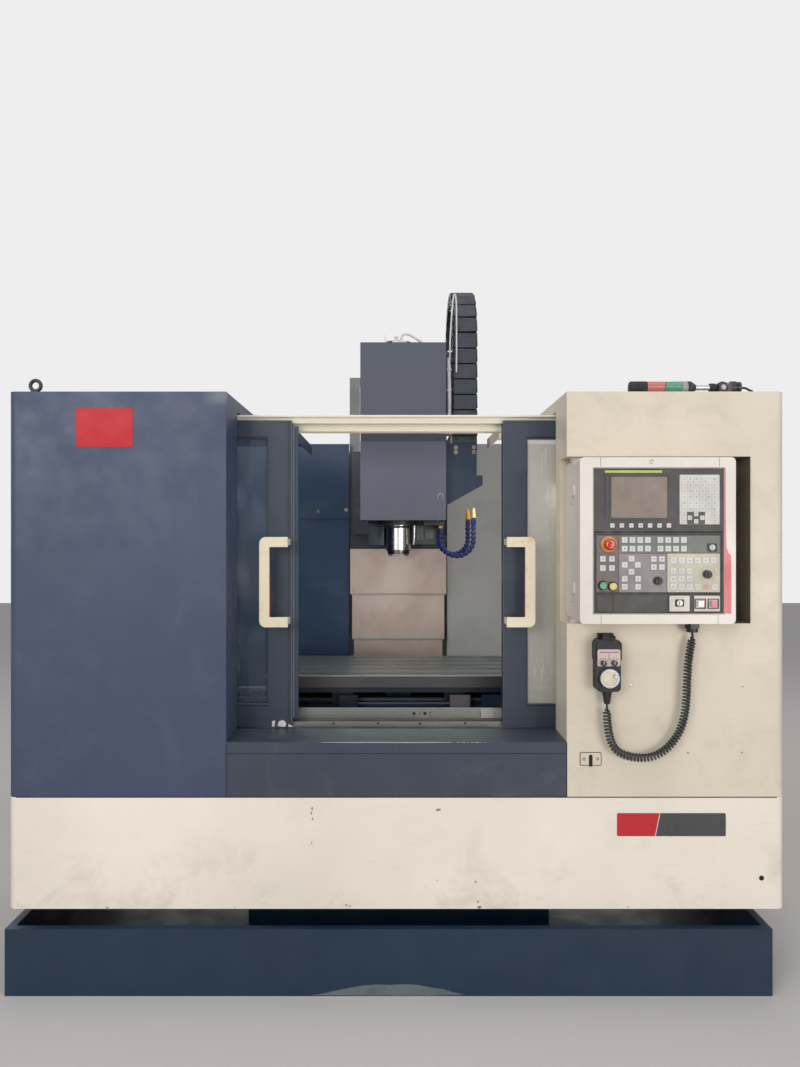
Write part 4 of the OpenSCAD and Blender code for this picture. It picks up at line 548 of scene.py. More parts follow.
def window_glass(name, clear, hazy, low, high):
  """Clear safety glass with wipe marks and a coolant haze, from a low to a high cover."""
  m = Material(name)
  haze = m.span(m.noise(2.4, 6, 0.6, warp=0.8), 0.4, 0.72)
  wipe = m.span(m.noise(7, 4, 0.5, m.scaled(1, 3, 0.5)), 0.5, 0.7)
  scratch = m.span(m.noise(22, 4, 0.6, m.scaled(3, 1, 0.35), 0.5), 0.61, 0.67)
  film = m.math("MAXIMUM", m.times(haze, wipe), m.times(scratch, 0.6))
  m.set(Base_Color=m.mix(film, linear(*clear), linear(*hazy)), Roughness=m.span(film, 0, 1, 0.05, 0.3),
      Alpha=m.span(film, 0, 1, low, high))
  m.data.surface_render_method = "BLENDED"
  return m.data


def table_finish():
  """Ground cast iron with rust-tinted oil stains, darker on the front edge."""
  m = Material("table iron")
  lines = m.noise(26, 5, 0.65, m.scaled(1, 70, 70))
  colour = m.mix(m.span(lines, 0.3, 0.7), linear(112, 122, 126), linear(136, 144, 146))
  front = m.span(m.axis("Y"), -0.6135, -0.611, 1, 0)
  colour = m.mix(front, colour, m.mix(m.span(lines, 0.3, 0.7), linear(72, 73, 77), linear(84, 85, 88)))
  blotch = m.span(m.noise(3.1, 8, 0.62, warp=0.9), 0.42, 0.68)
  colour = m.mix(m.times(blotch, 0.55), colour, linear(92, 76, 70))
  below = m.span(m.axis("Z"), 0.888, 0.889, 1, 0)
  colour = m.mix(below, colour, linear(24, 36, 50))
  gloss = ground(m, lines, blotch, 0.28, 0.54)
  metal = m.span(m.axis("Z"), 0.888, 0.889, 0, 0.6)
  m.set(Base_Color=colour, Metallic=metal, Roughness=gloss, Normal=m.bump(lines, 0.1, 0.0005))
  return m.data


def handle_finish():
  """Cream paint that is worn through to orange primer along its edges."""
  m = Material("handle paint")
  wear = m.span(m.noise(26, 7, 0.7), 0.55, 0.66)
  colour = m.mottle(m.noise(5, 4), 0.35, 0.7, (238, 225, 195), 0.93, 1)
  colour = m.mix(m.times(wear, 0.55), colour, linear(216, 166, 92))
  m.set(Base_Color=colour, Roughness=m.span(wear, 0, 1, 0.3, 0.5), Normal=m.bump(wear, 0.2, -0.0004),
      Coat_Weight=0.2, Coat_Roughness=0.2)
  return m.data


dress(window_glass("window glass", (84, 98, 116), (150, 156, 166), 0.3, 0.5), "door_left_glass")
dress(window_glass("window glass pale", (212, 208, 198), (222, 218, 210), 0.52, 0.74), "door_right_glass")
handle_cream = dress(handle_finish(), "door_left_handle", "door_right_handle")
dress(table_finish(), "table")


# Pendant: everything on the faces of its two units
panel_low, _ = corners("operator_panel")
unit_low, _ = corners("controller_unit")
box_low, _ = corners("pendant_box")
FACE_Y = unit_low.y
PANEL_X, PANEL_Z = panel_low.x, panel_low.z
FRAME_Y = -1150

FIELDS = [plastic("field " + name, rgb, 0.4, 0.15, dust) for name, rgb, dust in (("brown", (110, 99, 97),
    0.15), ("grey", (112, 113, 108), 0.15), ("rose grey", (138, 131, 130), 0.15),
    ("beige", (198, 191, 172), 0.1))]
strip_lime = plastic("strip lime", (182, 196, 88), 0.3, 0.02, 0.1)
ink = plastic("printed ink", (46, 46, 48), 0.5, 0, 0)
ink_white = plastic("printed white", (214, 214, 208), 0.5, 0, 0)
cursor_brown = plastic("cursor plate", (92, 84, 78), 0.5, 0.15, 0.1)
plate_cream = plastic("switch plate", (216, 206, 196), 0.4, 0.15, 0.06)
stop_yellow = plastic("stop collar", (224, 158, 52), 0.3, 0.04, 0.08)
stripe_red = paint("stripe red", (204, 72, 84), 0.3, 0.05, coat=0.2)


def on_panel(u, v, out=0):
  """A point u right and v up from the panel's lower left corner, proud of its face by out."""
  return Vector((PANEL_X + u, FACE_Y - out, PANEL_Z + v))


def overlay(piece, u0, v0, u1, v1, thick=0.8, r=2, base=0):
  piece.slab(rounded(PANEL_X + u0, PANEL_Z + v0, PANEL_X + u1, PANEL_Z + v1, r, 3), "Y", FACE_Y - base,
      FACE_Y - base - thick, 0.15)
  return piece


def outline_frame(piece, u0, v0, u1, v1, width, thick=0.6, base=0):
  """Four thin strips round a rectangle of the panel."""
  for a, b, c, d in ((u0, v0, u1, v0 + width), (u0, v1 - width, u1, v1),
      (u0, v0 + width, u0 + width, v1 - width), (u1 - width, v0 + width, u1, v1 - width)):
    piece.box((PANEL_X + a, FACE_Y - base - thick, PANEL_Z + b), (PANEL_X + c, FACE_Y - base, PANEL_Z + d))
  return piece


def islands(node):
  """Boxes of a node's separate solids, as (low, high) corners in millimetres, from left to right and up."""
  mesh = NODES[node].data
  key = {}
  owner = list(range(len(mesh.vertices)))

  def root(i):
    while owner[i] != i:
      owner[i] = owner[owner[i]]
      i = owner[i]
    return i

  for v in mesh.vertices:
    place = tuple(round(c, 5) for c in v.co)
    owner[root(v.index)] = root(key.setdefault(place, v.index))
  for f in mesh.polygons:
    first = root(f.vertices[0])
    for i in f.vertices[1:]:
      owner[root(i)] = first
  groups = {}
  for v in mesh.vertices:
    groups.setdefault(root(v.index), []).append(v.co / MM)
  boxes = [(Vector([min(p[k] for p in g) for k in range(3)]),
      Vector([max(p[k] for p in g) for k in range(3)])) for g in groups.values()]
  return sorted(boxes, key=lambda b: (round(b[0].z), round(b[0].x)))


# Printed fields of the lower panel, then the frame lines round them
fields = Piece("panel_fields", "pendant", "unit_black", *FIELDS)
for k, field in enumerate(((10, 68, 77, 240), (79, 187, 390, 240), (79, 66, 226, 185),
    (228, 66, 390, 185))):
  overlay(fields.paint(k), *field)

lines = Piece("panel_lines", "pendant", "unit_black", seal_black)
outline_frame(lines, 5, 62, 396, 246, 1.6)
outline_frame(lines, 5, 2, 396, 60, 1.2)
for line in ((0.5, 249, 401.5, 253.5, 0.5, 1), (32.6, 292, 33.8, 440, 0.3, 0.4),
    (37.5, 292, 38.5, 440, 0.3, 0.4), (20, 316, 34, 317, 0.3, 0.4), (62, 6, 63, 56, 0.4, 0.4),
    (229, 6, 230, 56, 0.4, 0.4)):
  overlay(lines, *line)

# Upper unit: display, coloured strip and the plate under the key field
outline_frame(Piece("display_frame", "pendant", "unit_black", unit_black), 50, 290, 235, 430, 5, 1.6)
(Piece("display_film", "pendant", "unit_black", screen_mauve)
    .slab(rounded(PANEL_X + 55.3, PANEL_Z + 294.3, PANEL_X + 229.7, PANEL_Z + 422.7, 3), "Y", FACE_Y + 2.9,
        FACE_Y + 1.2, 0.3))
overlay(Piece("unit_strip", "pendant", "button_yellow", strip_lime), 35.7, 434, 212, 441.5, 0.6, 1)
overlay(Piece("key_field_plate", "pendant", "key_grey", plate_cream), 266, 275, 389, 428, 1, 3)
overlay(Piece("cursor_key_plate", "pendant", "unit_black", cursor_brown), 288.8, 275.6, 344, 313.6, 0.5, 2,
    1)

# Small printed signs on the keys, in a seeded order; a width or height of 0 is one stroke
SIGNS = {"l": (0.9, (0, 0.6, 1.6, 0), (0, -0.5, 1.6, 0)), "d": (0, (0, 0, 0.9, 0.9)),
    "f": (0.8, (0, -0.7, 1.8, 0), (0, 0.7, 1.8, 0), (-0.9, 0, 0, 1.4), (0.9, 0, 0, 1.4)),
    "r": (0.9, (-0.5, 0, 0, 1.5), (0.5, 0, 0, 1.5)), "t": (0.9, (0, 0.5, 1.5, 0), (0, -0.2, 0, 1.1)),
    "c": (0.8, (0, 0, 1.6, 0), (0, 0, 0, 1.6))}
KEYS = islands("panel_keys")
signs = Piece("key_signs", "pendant", "unit_black", ink)
rng = random.Random(7)
for low, high in KEYS:
  mid = (low + high) / 2
  k = (high.x - low.x) / 2 * 0.42
  stroke, *bars = SIGNS[rng.choice("ldfrtc")]
  for dx, dz, w, h in bars:
    x, z, w, h = mid.x + k * dx, mid.z + k * dz, k * w or stroke, k * h or stroke
    signs.box((x - w / 2, low.y - 0.25, z - h / 2), (x + w / 2, low.y, z + h / 2))
cap_rose = plastic("rose key", (206, 158, 156), 0.42, 0.2, 0.05)
RESET = Vector((PANEL_X + 347.7, PANEL_Z + 83.4))
key_low, key_high = min(KEYS, key=lambda b: ((b[0] + b[1]).xz / 2 - RESET).length)
(Piece("rose_key_cap", "pendant", "button_rose", cap_rose)
    .slab(rounded(key_low.x + 0.8, key_low.z + 0.8, key_high.x - 0.8, key_high.z - 0.8, 1.5, 3), "Y",
        key_low.y, key_low.y - 0.6, 0.2))


# Bezels, collars and scales of the switches
STOP, START, HOLD = (46.7, 213.5), (28.7, 86.6), (58.9, 84.2)
MODE, FEED, PROGRAM = (198.1, 100.8), (350.3, 121.1), (365.7, 203.7)
POWER_KEY, POWER_ON, POWER_OFF = (265, 32.7), (328.4, 30.4), (368.4, 30.4)

(Piece("stop_collar", "pendant", "button_yellow", stop_yellow)
    .turned([(14, 3), (24.4, 3), (24.4, 3.6), (21, 5.4), (14, 5.4)], on_panel(*STOP), "-Y", 48))
arrows = Piece("stop_arrows", "e_stop", "stop_red", ink_white)
for start in (20, 140, 260):
  arc = [radians(start + 10 * k) for k in range(8)]
  at = on_panel(*STOP, 25.2)
  arrows.rings([[at + Vector((cos(a) * r, dy, sin(a) * r))
      for r, dy in ((9.2, 0.9), (11.4, 0.9), (11.4, -0.3), (9.2, -0.3))] for a in arc])

rings = Piece("button_rings", "pendant", "unit_black", knob_black)
for at in (START, HOLD):
  rings.turned([(11.4, 0.6), (15.2, 0.6), (15.2, 2.2), (14.2, 3.4), (11.9, 3.4), (11.4, 2.8)],
      on_panel(*at), "-Y", 36)

scales = Piece("switch_scales", "pendant", "unit_black", ink, ink_white)
for (u, v), r, first, last, count, w in ((MODE, 19, -120, 120, 9, 1), (FEED, 22, -135, 135, 21, 0.9)):
  scales.paint(0 if (u, v) == FEED else 1)
  for k in range(count):
    a = radians(90 - (first + (last - first) * k / (count - 1)))
    c, s = cos(a), sin(a)
    long = 4.6 if k % 5 == 0 else 3
    at = on_panel(u, v, 0.8)
    bar = [(r, -w / 2), (r + long, -w / 2), (r + long, w / 2), (r, w / 2)]
    outline = [(at.x + p * c - q * s, at.z + p * s + q * c) for p, q in bar]
    scales.slab(outline, "Y", at.y, at.y - 0.25)

bezels = Piece("key_switch_bezels", "pendant", "unit_black", knob_black)
for (u, v), w, h, form in ((PROGRAM, 15, 12.5, (2, 2.5, 0.8)), (POWER_KEY, 14, 11, (1.6, 2, 2))):
  overlay(bezels, u - w, v - h, u + w, v + h, *form)
for u, v in (POWER_ON, POWER_OFF):
  outline_frame(bezels, u - 17, v - 15.5, u + 17, v + 15.5, 2.6, 3.2, 2)

plates = Piece("switch_plates", "pendant", "key_grey", plate_cream)
overlay(plates, 234, 7, 296, 55, 0.7, 2, 2)
overlay(plates, 310, 7, 389, 55, 0.7, 2, 2)

locks = Piece("lock_rings", "pendant", "unit_black", knob_black)
for (u, v), base in ((PROGRAM, 2.8), (POWER_KEY, 3.6)):
  locks.turned([(8.4, base - 0.4), (11.2, base - 0.4), (11.2, base + 1.2), (10.2, base + 2),
      (8.8, base + 2), (8.4, base + 1.6)], on_panel(u, v), "-Y", 32)

door = Piece("port_door", "pendant", "unit_black", unit_black)
overlay(door, 12, 8, 56, 54, 1.6, 3, 2)
door.box((PANEL_X + 28, FACE_Y - 4.6, PANEL_Z + 48), (PANEL_X + 40, FACE_Y - 3.4, PANEL_Z + 51), 0.4)

# Frame of the pendant: red wave on its right band, seams, eyelet and latch screws
wave = Piece("frame_wave", "pendant", "button_rose", stripe_red)
edge = [(1009.5, 1666), (1013.5, 1666), (1013, 1560), (1014, 1480), (1016, 1424), (1022, 1406),
    (1030, 1396), (1031, 1340), (1031, 1218), (1009.5, 1218)]
wave.slab(edge, "Y", FRAME_Y, FRAME_Y - 0.5, 0.1)
seams = Piece("frame_seams", "pendant", "unit_black", seal_black)
for x, z0, z1 in ((628.5, 1670, 1699), (994, 1670, 1699), (630, 1187, 1214), (990, 1187, 1214)):
  seams.box((x - 0.5, FRAME_Y - 0.15, z0), (x + 0.5, FRAME_Y + 0.3, z1))
for z in (1216.4, 1667.6):
  seams.box((604, FRAME_Y - 0.15, z - 0.6), (1012, FRAME_Y + 0.3, z + 0.6))
for x in (605.4, 1010.6):
  seams.box((x - 0.6, FRAME_Y - 0.15, 1217), (x + 0.6, FRAME_Y + 0.3, 1668))
(Piece("frame_eyelet", "pendant", "lock_metal", zinc)
    .turned([(7.5, -0.2), (7.5, 0.6), (5.6, 0.9), (4.6, 0.3), (2, 0.2)], (787, FRAME_Y, 1685), "-Y", 24))
latches = Piece("frame_latches", "pendant", "lock_metal", zinc)
for z in (box_low.z + 90 + 17, box_low.z + 400 + 17):
  for dz in (-11, 11):
    latches.screw((box_low.x, -1067.5, z + dz), 3, "-X", 1.6)


# The curly cord hangs between the handwheel on the machine and the gland on the pendant
curly = (Piece("curly_cord", "machine", "cord_rubber", cord_rubber, stands_for=["handwheel_cord"],
    blend=("machine", "pendant", (0.8, -1.07, 0.77), (0.94, -1.07, 1.15)))
    .tube(cord_line, WIRE_D / 2, 8))
finish_pieces()


# Head: drag chain, its bracket, plugs, pipes and the nozzles of the coolant hoses
chain_grey = plastic("chain plates", (44, 48, 60), 0.5, 0.3, 0.35, 0, (104, 104, 106), scale=300)
connector_green = paint("connector green", (42, 60, 56), 0.4, 0.2)
hose_white = plastic("white hose", (206, 206, 204), 0.4, 0.2, 0.3, 0, (150, 140, 124))
strip_light = brushed("strip light", (176, 177, 170), 0.42, (40, 1, 1), 0.25, metal=0.3)
block_green = paint("feed block", (108, 116, 108), 0.42, 0.35)

BEND_R, LINK, CHAIN_W, CHAIN_H, LINKS = 215, 60, 97, 50, 22
chain_low, _ = corners("drag_chain")
CHAIN_X = chain_low.x
FRONT_Y, START_Z, ARCH_Z = -480, 1874, 2225
LEG = ARCH_Z - START_Z
ARC = pi * BEND_R


def chain_point(s):
  """Y and Z of the chain's middle line, s along it from its end on the head."""
  turn = min(max(s - LEG, 0) / BEND_R, pi)
  return (FRONT_Y + BEND_R * (1 - cos(turn)), ARCH_Z + min(s - LEG, 0) + BEND_R * sin(turn)
      - max(s - LEG - ARC, 0))


def placed(piece, matrix, draw):
  """Draws a form at the origin and moves what it made."""
  first = len(piece.bm.verts)
  draw(piece)
  piece.bm.verts.ensure_lookup_table()
  bmesh.ops.transform(piece.bm, matrix=matrix, verts=piece.bm.verts[first:])


def draw_link(piece):
  """One link with hinge discs, stepped side plates and snap-on lids."""
  half = CHAIN_H / 2
  for near, way in ((0, 1), (CHAIN_W, -1)):
    def across(a, b):
      return tuple(sorted((near + way * a, near + way * b)))
    x0, x1 = across(4.3, 8)
    piece.box((x0, -17, 0), (x1, 17, 38), 1.2)
    piece.turned([(15.8, 0), (17, 0.8), (17, 2.9), (15.8, 3.7)], (x0, 0, 0), "X", 28)
    piece.box((x0, -half, 22), (x1, half, 40), 1)
    x0, x1 = across(0, 4)
    piece.box((x0, -half, 22), (x1, half, 40), 1.2)
    piece.box((x0, -19, 30), (x1, 19, LINK), 1.2)
    piece.turned([(17.8, 0), (19, 0.8), (19, 3.2), (17.8, 4)], (x0, 0, LINK), "X", 28)
    piece.turned([(6, -0.6), (6.5, 0.2), (6.5, 1), (3, 1.4)], (near, 0, LINK), "-X" if way > 0 else "X", 16)
  for y0, y1, end in ((-half, -half + 3.5, LINK + 12), (half - 3.5, half, LINK + 4)):
    piece.box((4.6, y0, 16), (CHAIN_W - 4.6, y1, end), 1.4)
    out = y0 - 0.7 if y0 < 0 else y1 - 0.2
    for x in (20, CHAIN_W - 32):
      piece.box((x, out, 22), (x + 12, out + 0.9, 27), 0.3)
    piece.box((30, out, end - 12), (CHAIN_W - 30, out + 0.9, end - 9.5), 0.3)


chain = Piece("drag_chain_links", "machine", "chain_plastic", chain_grey, stands_for=["drag_chain"],
    blend=("machine", "head", (0.266, -0.05, 2.2), (0.266, -0.48, 2.2)))
for i in range(LINKS):
  y0, z0 = chain_point(i * LINK)
  y1, z1 = chain_point((i + 1) * LINK)
  lean = -atan2(y1 - y0, z1 - z0)
  placed(chain, Matrix.Translation(Vector((CHAIN_X, y0, z0)) * MM) @ Matrix.Rotation(lean, 4, "X"),
      draw_link)

# Screws, washers and the connector on the bracket of the chain
BRACKET_Y = -483
screws = Piece("bracket_screws", "head", "steel_dark", zinc)
for x, z in ((232, 1804), (232, 1786), (303, 1805), (303, 1786)):
  screws.turned([(8, 0), (8, 1.2), (5, 1.4)], (x, BRACKET_Y, z), "-Y", 24)
  screws.screw((x, BRACKET_Y - 1.2, z), 5, "-Y", 4, slot=False)
link_plate = (Piece("chain_connector", "head", "head_cast", connector_green)
    .box((221, -486.5, 1822), (312, -483, 1853), 1).box((224, -500, 1853), (309, -480, 1857), 1))
for x in (236, 297):
  link_plate.screw((x, -486.5, 1838), 5, "-Y", 3, slot=False)

# Plug of the sheet covers, and a dark strip across the head just below the beam: the beam's painted shadow
HEAD_Y = -544
PLUG = (168.5, HEAD_Y, 1607.5)
(Piece("head_plug", "head", "steel_dark", zinc)
    .turned([(13.6, 0), (13.6, 1.2), (12.8, 1.8), (11.6, 1.8), (11, 0.4), (2, 0.3)], PLUG, "-Y", 40))
(Piece("head_plug_face", "head", "head_cast", head_slate)
    .turned([(10.8, 0.2), (10.8, 1), (10.2, 1.4), (2, 1.5)], PLUG, "-Y", 36))
# Dark slate strip below the beam: painted shadow of the beam on the head covers.
beam_shadow_slate = paint("beam shadow slate", (46, 54, 64), 0.5, 0.2)
Piece("head_beam_shadow_strip", "head", "head_cast", beam_shadow_slate).box((-136, -543.4, 1822), (187, -541.5, 1853), 0.5)

# Fittings on top of the head: air unit, knob and a short corrugated hose
top_z = 2201
(Piece("head_top_unit", "head", "steel_dark", hose_white).box((-17, -536, top_z), (40, -470, top_z + 9), 2)
    .slab([(-42, top_z), (-39, top_z), (-31, top_z + 14), (-34, top_z + 14), (-40.5, top_z + 5),
        (-46, top_z + 30), (-49, top_z + 30)], "Y", -534, -528, 0.4))
(Piece("head_top_knob", "head", "cream_paint", hose_white)
    .turned([(6, 0), (6.6, 1), (5, 4), (5, 9), (7, 11), (7, 17), (5.6, 19.5), (3, 20.5)],
        (-1, -524, top_z + 9), "Z", 32))
arc, _ = smooth_line([(20, -528, top_z + 8), (19, -528, top_z + 22), (27, -528, top_z + 33),
    (42, -527, top_z + 35), (60, -526, top_z + 28), (80, -524, top_z + 16), (99, -522, top_z + 4)], 2)
(Piece("head_top_hose", "head", "hose_plastic", hose_white)
    .tube(arc, [4.9 if k % 2 else 4.2 for k in range(len(arc))], 12))

# White hose that stands in a loop before the chain
loop = [(206, -514, 2140), (207, -516, 2200), (210, -518, 2260), (215, -519, 2330), (219, -519, 2375),
    (225, -519, 2394), (230, -519, 2376), (232, -518, 2330), (232.5, -517, 2250), (232.5, -516, 2160),
    (232, -514, 2092)]
smooth_loop, _ = smooth_line(loop, 8)
Piece("head_hose_loop", "head", "hose_plastic", hose_white).tube(smooth_loop, 3.2, 12)
band_points = [(203 + 1.5 * sin(z / 60), -508, z) for z in range(1857, 2150, 4)]
(Piece("head_hose_band", "head", "hose_plastic", hose_white)
    .tube(band_points, [8.3 if k % 2 else 7.6 for k in range(len(band_points))], 14))
clips = Piece("head_hose_clips", "head", "steel_dark", hose_white)
for z in (1900, 2020, 2100):
  clips.box((193, -517.5, z), (214, -504.5, z + 5), 1.5)

# Spindle nose: light collar, ring of the face, air pipe and feed blocks
nose_low, _ = corners("spindle_cartridge")
SPINDLE_X, SPINDLE_Y = 8, -364
(Piece("nose_collar", "head", "nose_steel", cover_stainless)
    .turned([(50.2, 0), (57, 0), (58.2, 1.2), (58.2, 8), (57, 9), (50.2, 9)], (SPINDLE_X, SPINDLE_Y, 1490),
        "Z", 72))
(Piece("nose_face_ring", "head", "nose_steel", dark_steel)
    .turned([(36, 0), (49, 0), (50.3, 1.3), (50.3, 5), (49.6, 5.6), (36, 5.6)],
        (SPINDLE_X, SPINDLE_Y, nose_low.z - 0.4), "Z", 72))
(Piece("nose_air_pipe", "head", "nose_steel", nose_steel)
    .tube([(72, -402, 1502), (72, -402, 1470), (72, -401, 1440), (69, -398, 1424)], 4.5, 14)
    .turned([(7.5, 0), (8, 0.8), (8, 8), (7.5, 9)], (72, -402, 1492), "Z", 6))
blocks = (Piece("feed_block_cover", "head", "head_cast", block_green)
    .box((82, -356, 1440), (112, -352, 1500), 1.5).box((116, -357, 1446), (150, -352, 1486), 1.5))
for x, z in ((97, 1448), (97, 1490), (133, 1454), (133, 1478)):
  blocks.screw((x, -356.5, z), 3.5, "-Y", 3, slot=False)

# Brass fittings and coloured nozzle tips of the coolant hoses
hose_low, hose_high = corners("coolant_hoses")
fittings = Piece("hose_fittings", "head", "nose_steel", brass)
for x, y in ((176, -414), (170, -390)):
  fittings.turned([(13, 0), (14, 1), (14, 10), (13, 11)], (x, y, 1488), "Z", 6)
nozzle_pale = plastic("nozzle pale", (222, 208, 140), 0.4, 0.2, 0.2)
tips = Piece("hose_tips", "head", "hose_plastic", nozzle_pale, nozzle_orange)
turn = radians(8)
HOSE_Y = hose_low.y + 11
for skin, (x, y, z) in enumerate(((176 + 132, HOSE_Y, hose_high.z),
    (170 + 120 * cos(turn), HOSE_Y + 24 + 120 * sin(turn), hose_high.z - 6 * 6 * sin(pi / 22)))):
  tips.paint(skin).turned([(8.2, 0), (9.6, 2), (6, 34), (4.6, 40), (3.2, 40), (3.2, 36)], (x, y, z - 38),
      "Z", 28)


# Inside: screws of the back wall and the tracks, a light strip on the table's edge as a painted highlight,
# and the blocks on the saddle's front
WALL_Y = 146
wall_screws = Piece("wall_screws", "machine", "steel_dark", zinc)
for x, z in ((-371, 1574), (-237, 1581)):
  wall_screws.turned([(9, 0), (9, 0.8), (6, 1)], (x, WALL_Y, z), "-Y", 20)
  wall_screws.screw((x, WALL_Y - 0.8, z), 5, "-Y", 3)

strip_screws = Piece("track_screws", "machine", "track_metal", seal_black)
RAIL_Y, TRACK_Y = -830.5, -775
for x in (-219, -64, 81, 239):
  strip_screws.screw((x, RAIL_Y, 806), 4, "-Y", 1.6)
for x in (62, 101):
  strip_screws.turned([(5.5, 0), (5.5, 0.9), (3.8, 0.9), (3.4, 0.2)], (x, TRACK_Y, 828), "-Y", 20)
for x, z in ((84, 827), (119, 831), (119, 822), (298, 829), (298, 821)):
  strip_screws.turned([(2.6, 0), (2.6, 0.5), (1.6, 0.6)], (x, TRACK_Y, z), "-Y", 12)
joint_plate = (Piece("track_joint_plate", "machine", "track_metal", strip_light)
    .box((299, TRACK_Y - 2.5, 812), (386, TRACK_Y, 845), 0.5))
for x in (345, 375):
  for z in (821, 833):
    joint_plate.screw((x, TRACK_Y - 2.5, z), 4, "-Y", 1.8)

table_low, table_high = corners("table")
# Light strip along the table's top front edge: the machined chamfer, brightened as a painted highlight.
(Piece("table_edge_highlight", "table", "table_iron", strip_light)
    .box((table_low.x + 2, table_low.y - 0.5, table_high.z - 3.2),
        (table_high.x - 2, table_low.y + 2, table_high.z - 0.4), 0.4))
ends = Piece("table_end_channels", "table", "table_iron", dark_steel)
for x0, x1 in ((table_low.x + 6, table_low.x + 26), (table_high.x - 26, table_high.x - 6)):
  ends.box((x0, table_low.y + 14, table_high.z - 0.2), (x1, table_low.y + 15.5, table_high.z + 0.3))

saddle_low, _ = corners("saddle")
block_navy = paint("block navy", (26, 40, 58), 0.4, 0.3)
block_rose = paint("block rose grey", (112, 106, 112), 0.45, 0.3)
front = saddle_low.y
for side, x0, x1, skin in (("left", -220, -146, block_navy), ("right", 202, 280, block_rose)):
  inset = 6 if side == "left" else 8
  (Piece("saddle_block_" + side, "saddle", "cast_green", skin)
      .box((x0, front - 5, 764), (x1, front + 6, 856), 2)
      .box((x0 + inset, front - 7, 772), (x1 - inset, front - 4, 846), 1))
(Piece("saddle_switch", "saddle", "cast_green", block_navy)
    .box((322, front - 6, 812), (400, front + 4, 858), 2)
    .box((334, front - 4, 764), (388, front + 2, 814), 1))
rail_grey = paint("block rail", (74, 90, 104), 0.4, 0.2)
(Piece("saddle_front_rail", "saddle", "cast_green", rail_grey)
    .box((-145, front - 4, 820), (201, front + 1, 828), 1))

# Edges and rivets of the telescopic covers
cover_trim = {"z_cover_upper": "head", "z_cover_middle": "z_cover", "z_cover_lower": "machine"}
for node, body in cover_trim.items():
  low, high = corners(node)
  trim = (Piece(node + "_trim", body, "stainless", strip_light)
      .box((low.x + 0.5, low.y - 0.8, low.z + 0.5), (high.x - 0.5, low.y + 0.6, low.z + 7), 0.3))
  for x in (low.x + 14, high.x - 14):
    trim.screw((x, low.y, low.z + 16), 3.5, "-Y", 1.2, slot=False)


# Doors: beads of the windows, edges, handles with their coloured inner fins, and bare flakes
handle_back = paint("handle red", (158, 44, 56), 0.35, 0.12, coat=0.2)
edge_slate = paint("edge slate", (78, 90, 104), 0.4, 0.15)
groove_slate = paint("groove slate", (36, 43, 54), 0.5, 0.15)
primer = paint("bare primer", (226, 222, 206), 0.6, 0.3)
DOOR_Y = -850
BAR, ROUND = 34, 22


def c_outline(root, way, width, z0, z1):
  """C-shaped handle seen from the front, open towards its root, with round corners at the grip."""
  near, far = width - ROUND, z1 - z0 - ROUND
  made = [(0, 0), (near, 0)]
  made += [(near + ROUND * sin(a), ROUND - ROUND * cos(a)) for a in (pi / 12 * k for k in range(1, 7))]
  made += [(near + ROUND * cos(a), far + ROUND * sin(a)) for a in (pi / 12 * k for k in range(7))]
  made += [(0, z1 - z0), (0, z1 - z0 - BAR), (width - BAR, z1 - z0 - BAR), (width - BAR, BAR), (0, BAR)]
  return [(root + way * x, z0 + z) for x, z in made]


for side in ("left", "right"):
  body = "door_" + side
  low, high = corners(body + "_glass")
  bead = (Piece(body + "_glass_bead", body, "door_paint", door_slate)
      .box((low.x, DOOR_Y + 6, high.z - 7), (high.x, DOOR_Y + 13.8, high.z), 0.8)
      .box((low.x, DOOR_Y + 6, low.z), (high.x, DOOR_Y + 13.8, low.z + 7), 0.8))
  for x in (low.x, high.x - 5):
    bead.box((x, DOOR_Y + 7, low.z + 7.2), (x + 5, DOOR_Y + 13.8, high.z - 7.2), 0.8)
  (Piece(body + "_glass_lip", body, "door_paint", edge_slate)
      .box((low.x + 1, DOOR_Y + 4.6, low.z + 4.5), (high.x - 1, DOOR_Y + 6.4, low.z + 8), 0.4))
  handle_low, handle_high = corners(body + "_handle")
  way = -1 if side == "left" else 1
  root = handle_low.x if way > 0 else handle_high.x
  grip = (Piece(body + "_handle_body", body, "handle_paint", handle_cream, handle_back,
      stands_for=[body + "_handle"]).paint(0)
      .slab(c_outline(root, way, handle_high.x - handle_low.x, handle_low.z, handle_high.z), "Y",
          handle_low.y + 10, handle_low.y, 1))
  for z in (handle_low.z, handle_high.z - BAR):
    x0, x1 = sorted((root, root + way * 26))
    grip.box((x0, handle_low.y + 10.2, z + 6), (x1, DOOR_Y, z + BAR - 6), 1)
  x0, x1 = sorted((root + way * 62, root + way * 65))
  low_z, high_z = handle_low.z + BAR, handle_high.z - BAR
  grip.paint(1).slab([(handle_low.y + 10.2, low_z), (handle_low.y + 42, low_z),
      (handle_low.y + 16, low_z + 0.7 * (high_z - low_z)),
      (handle_low.y + 10.2, low_z + 0.72 * (high_z - low_z))], "X", x0, x1, 0.4)

edge_x = -340
(Piece("door_left_edge", "door_left", "door_paint", edge_slate)
    .box((edge_x - 25, DOOR_Y - 1.2, 812), (edge_x - 20, DOOR_Y + 2, 1853), 0.5)
    .box((edge_x - 19, DOOR_Y + 1, 830), (edge_x - 12, DOOR_Y + 6.2, 1835), 1))
(Piece("door_left_groove", "door_left", "unit_black", groove_slate)
    .box((edge_x - 36, DOOR_Y - 0.6, 812), (edge_x - 26, DOOR_Y + 1, 1853), 0.3))
door_low, _ = corners("door_right")
(Piece("door_right_edge", "door_right", "door_paint", edge_slate)
    .box((door_low.x + 0.5, DOOR_Y - 0.8, 802), (door_low.x + 3, DOOR_Y + 0.6, 1853), 0.3))

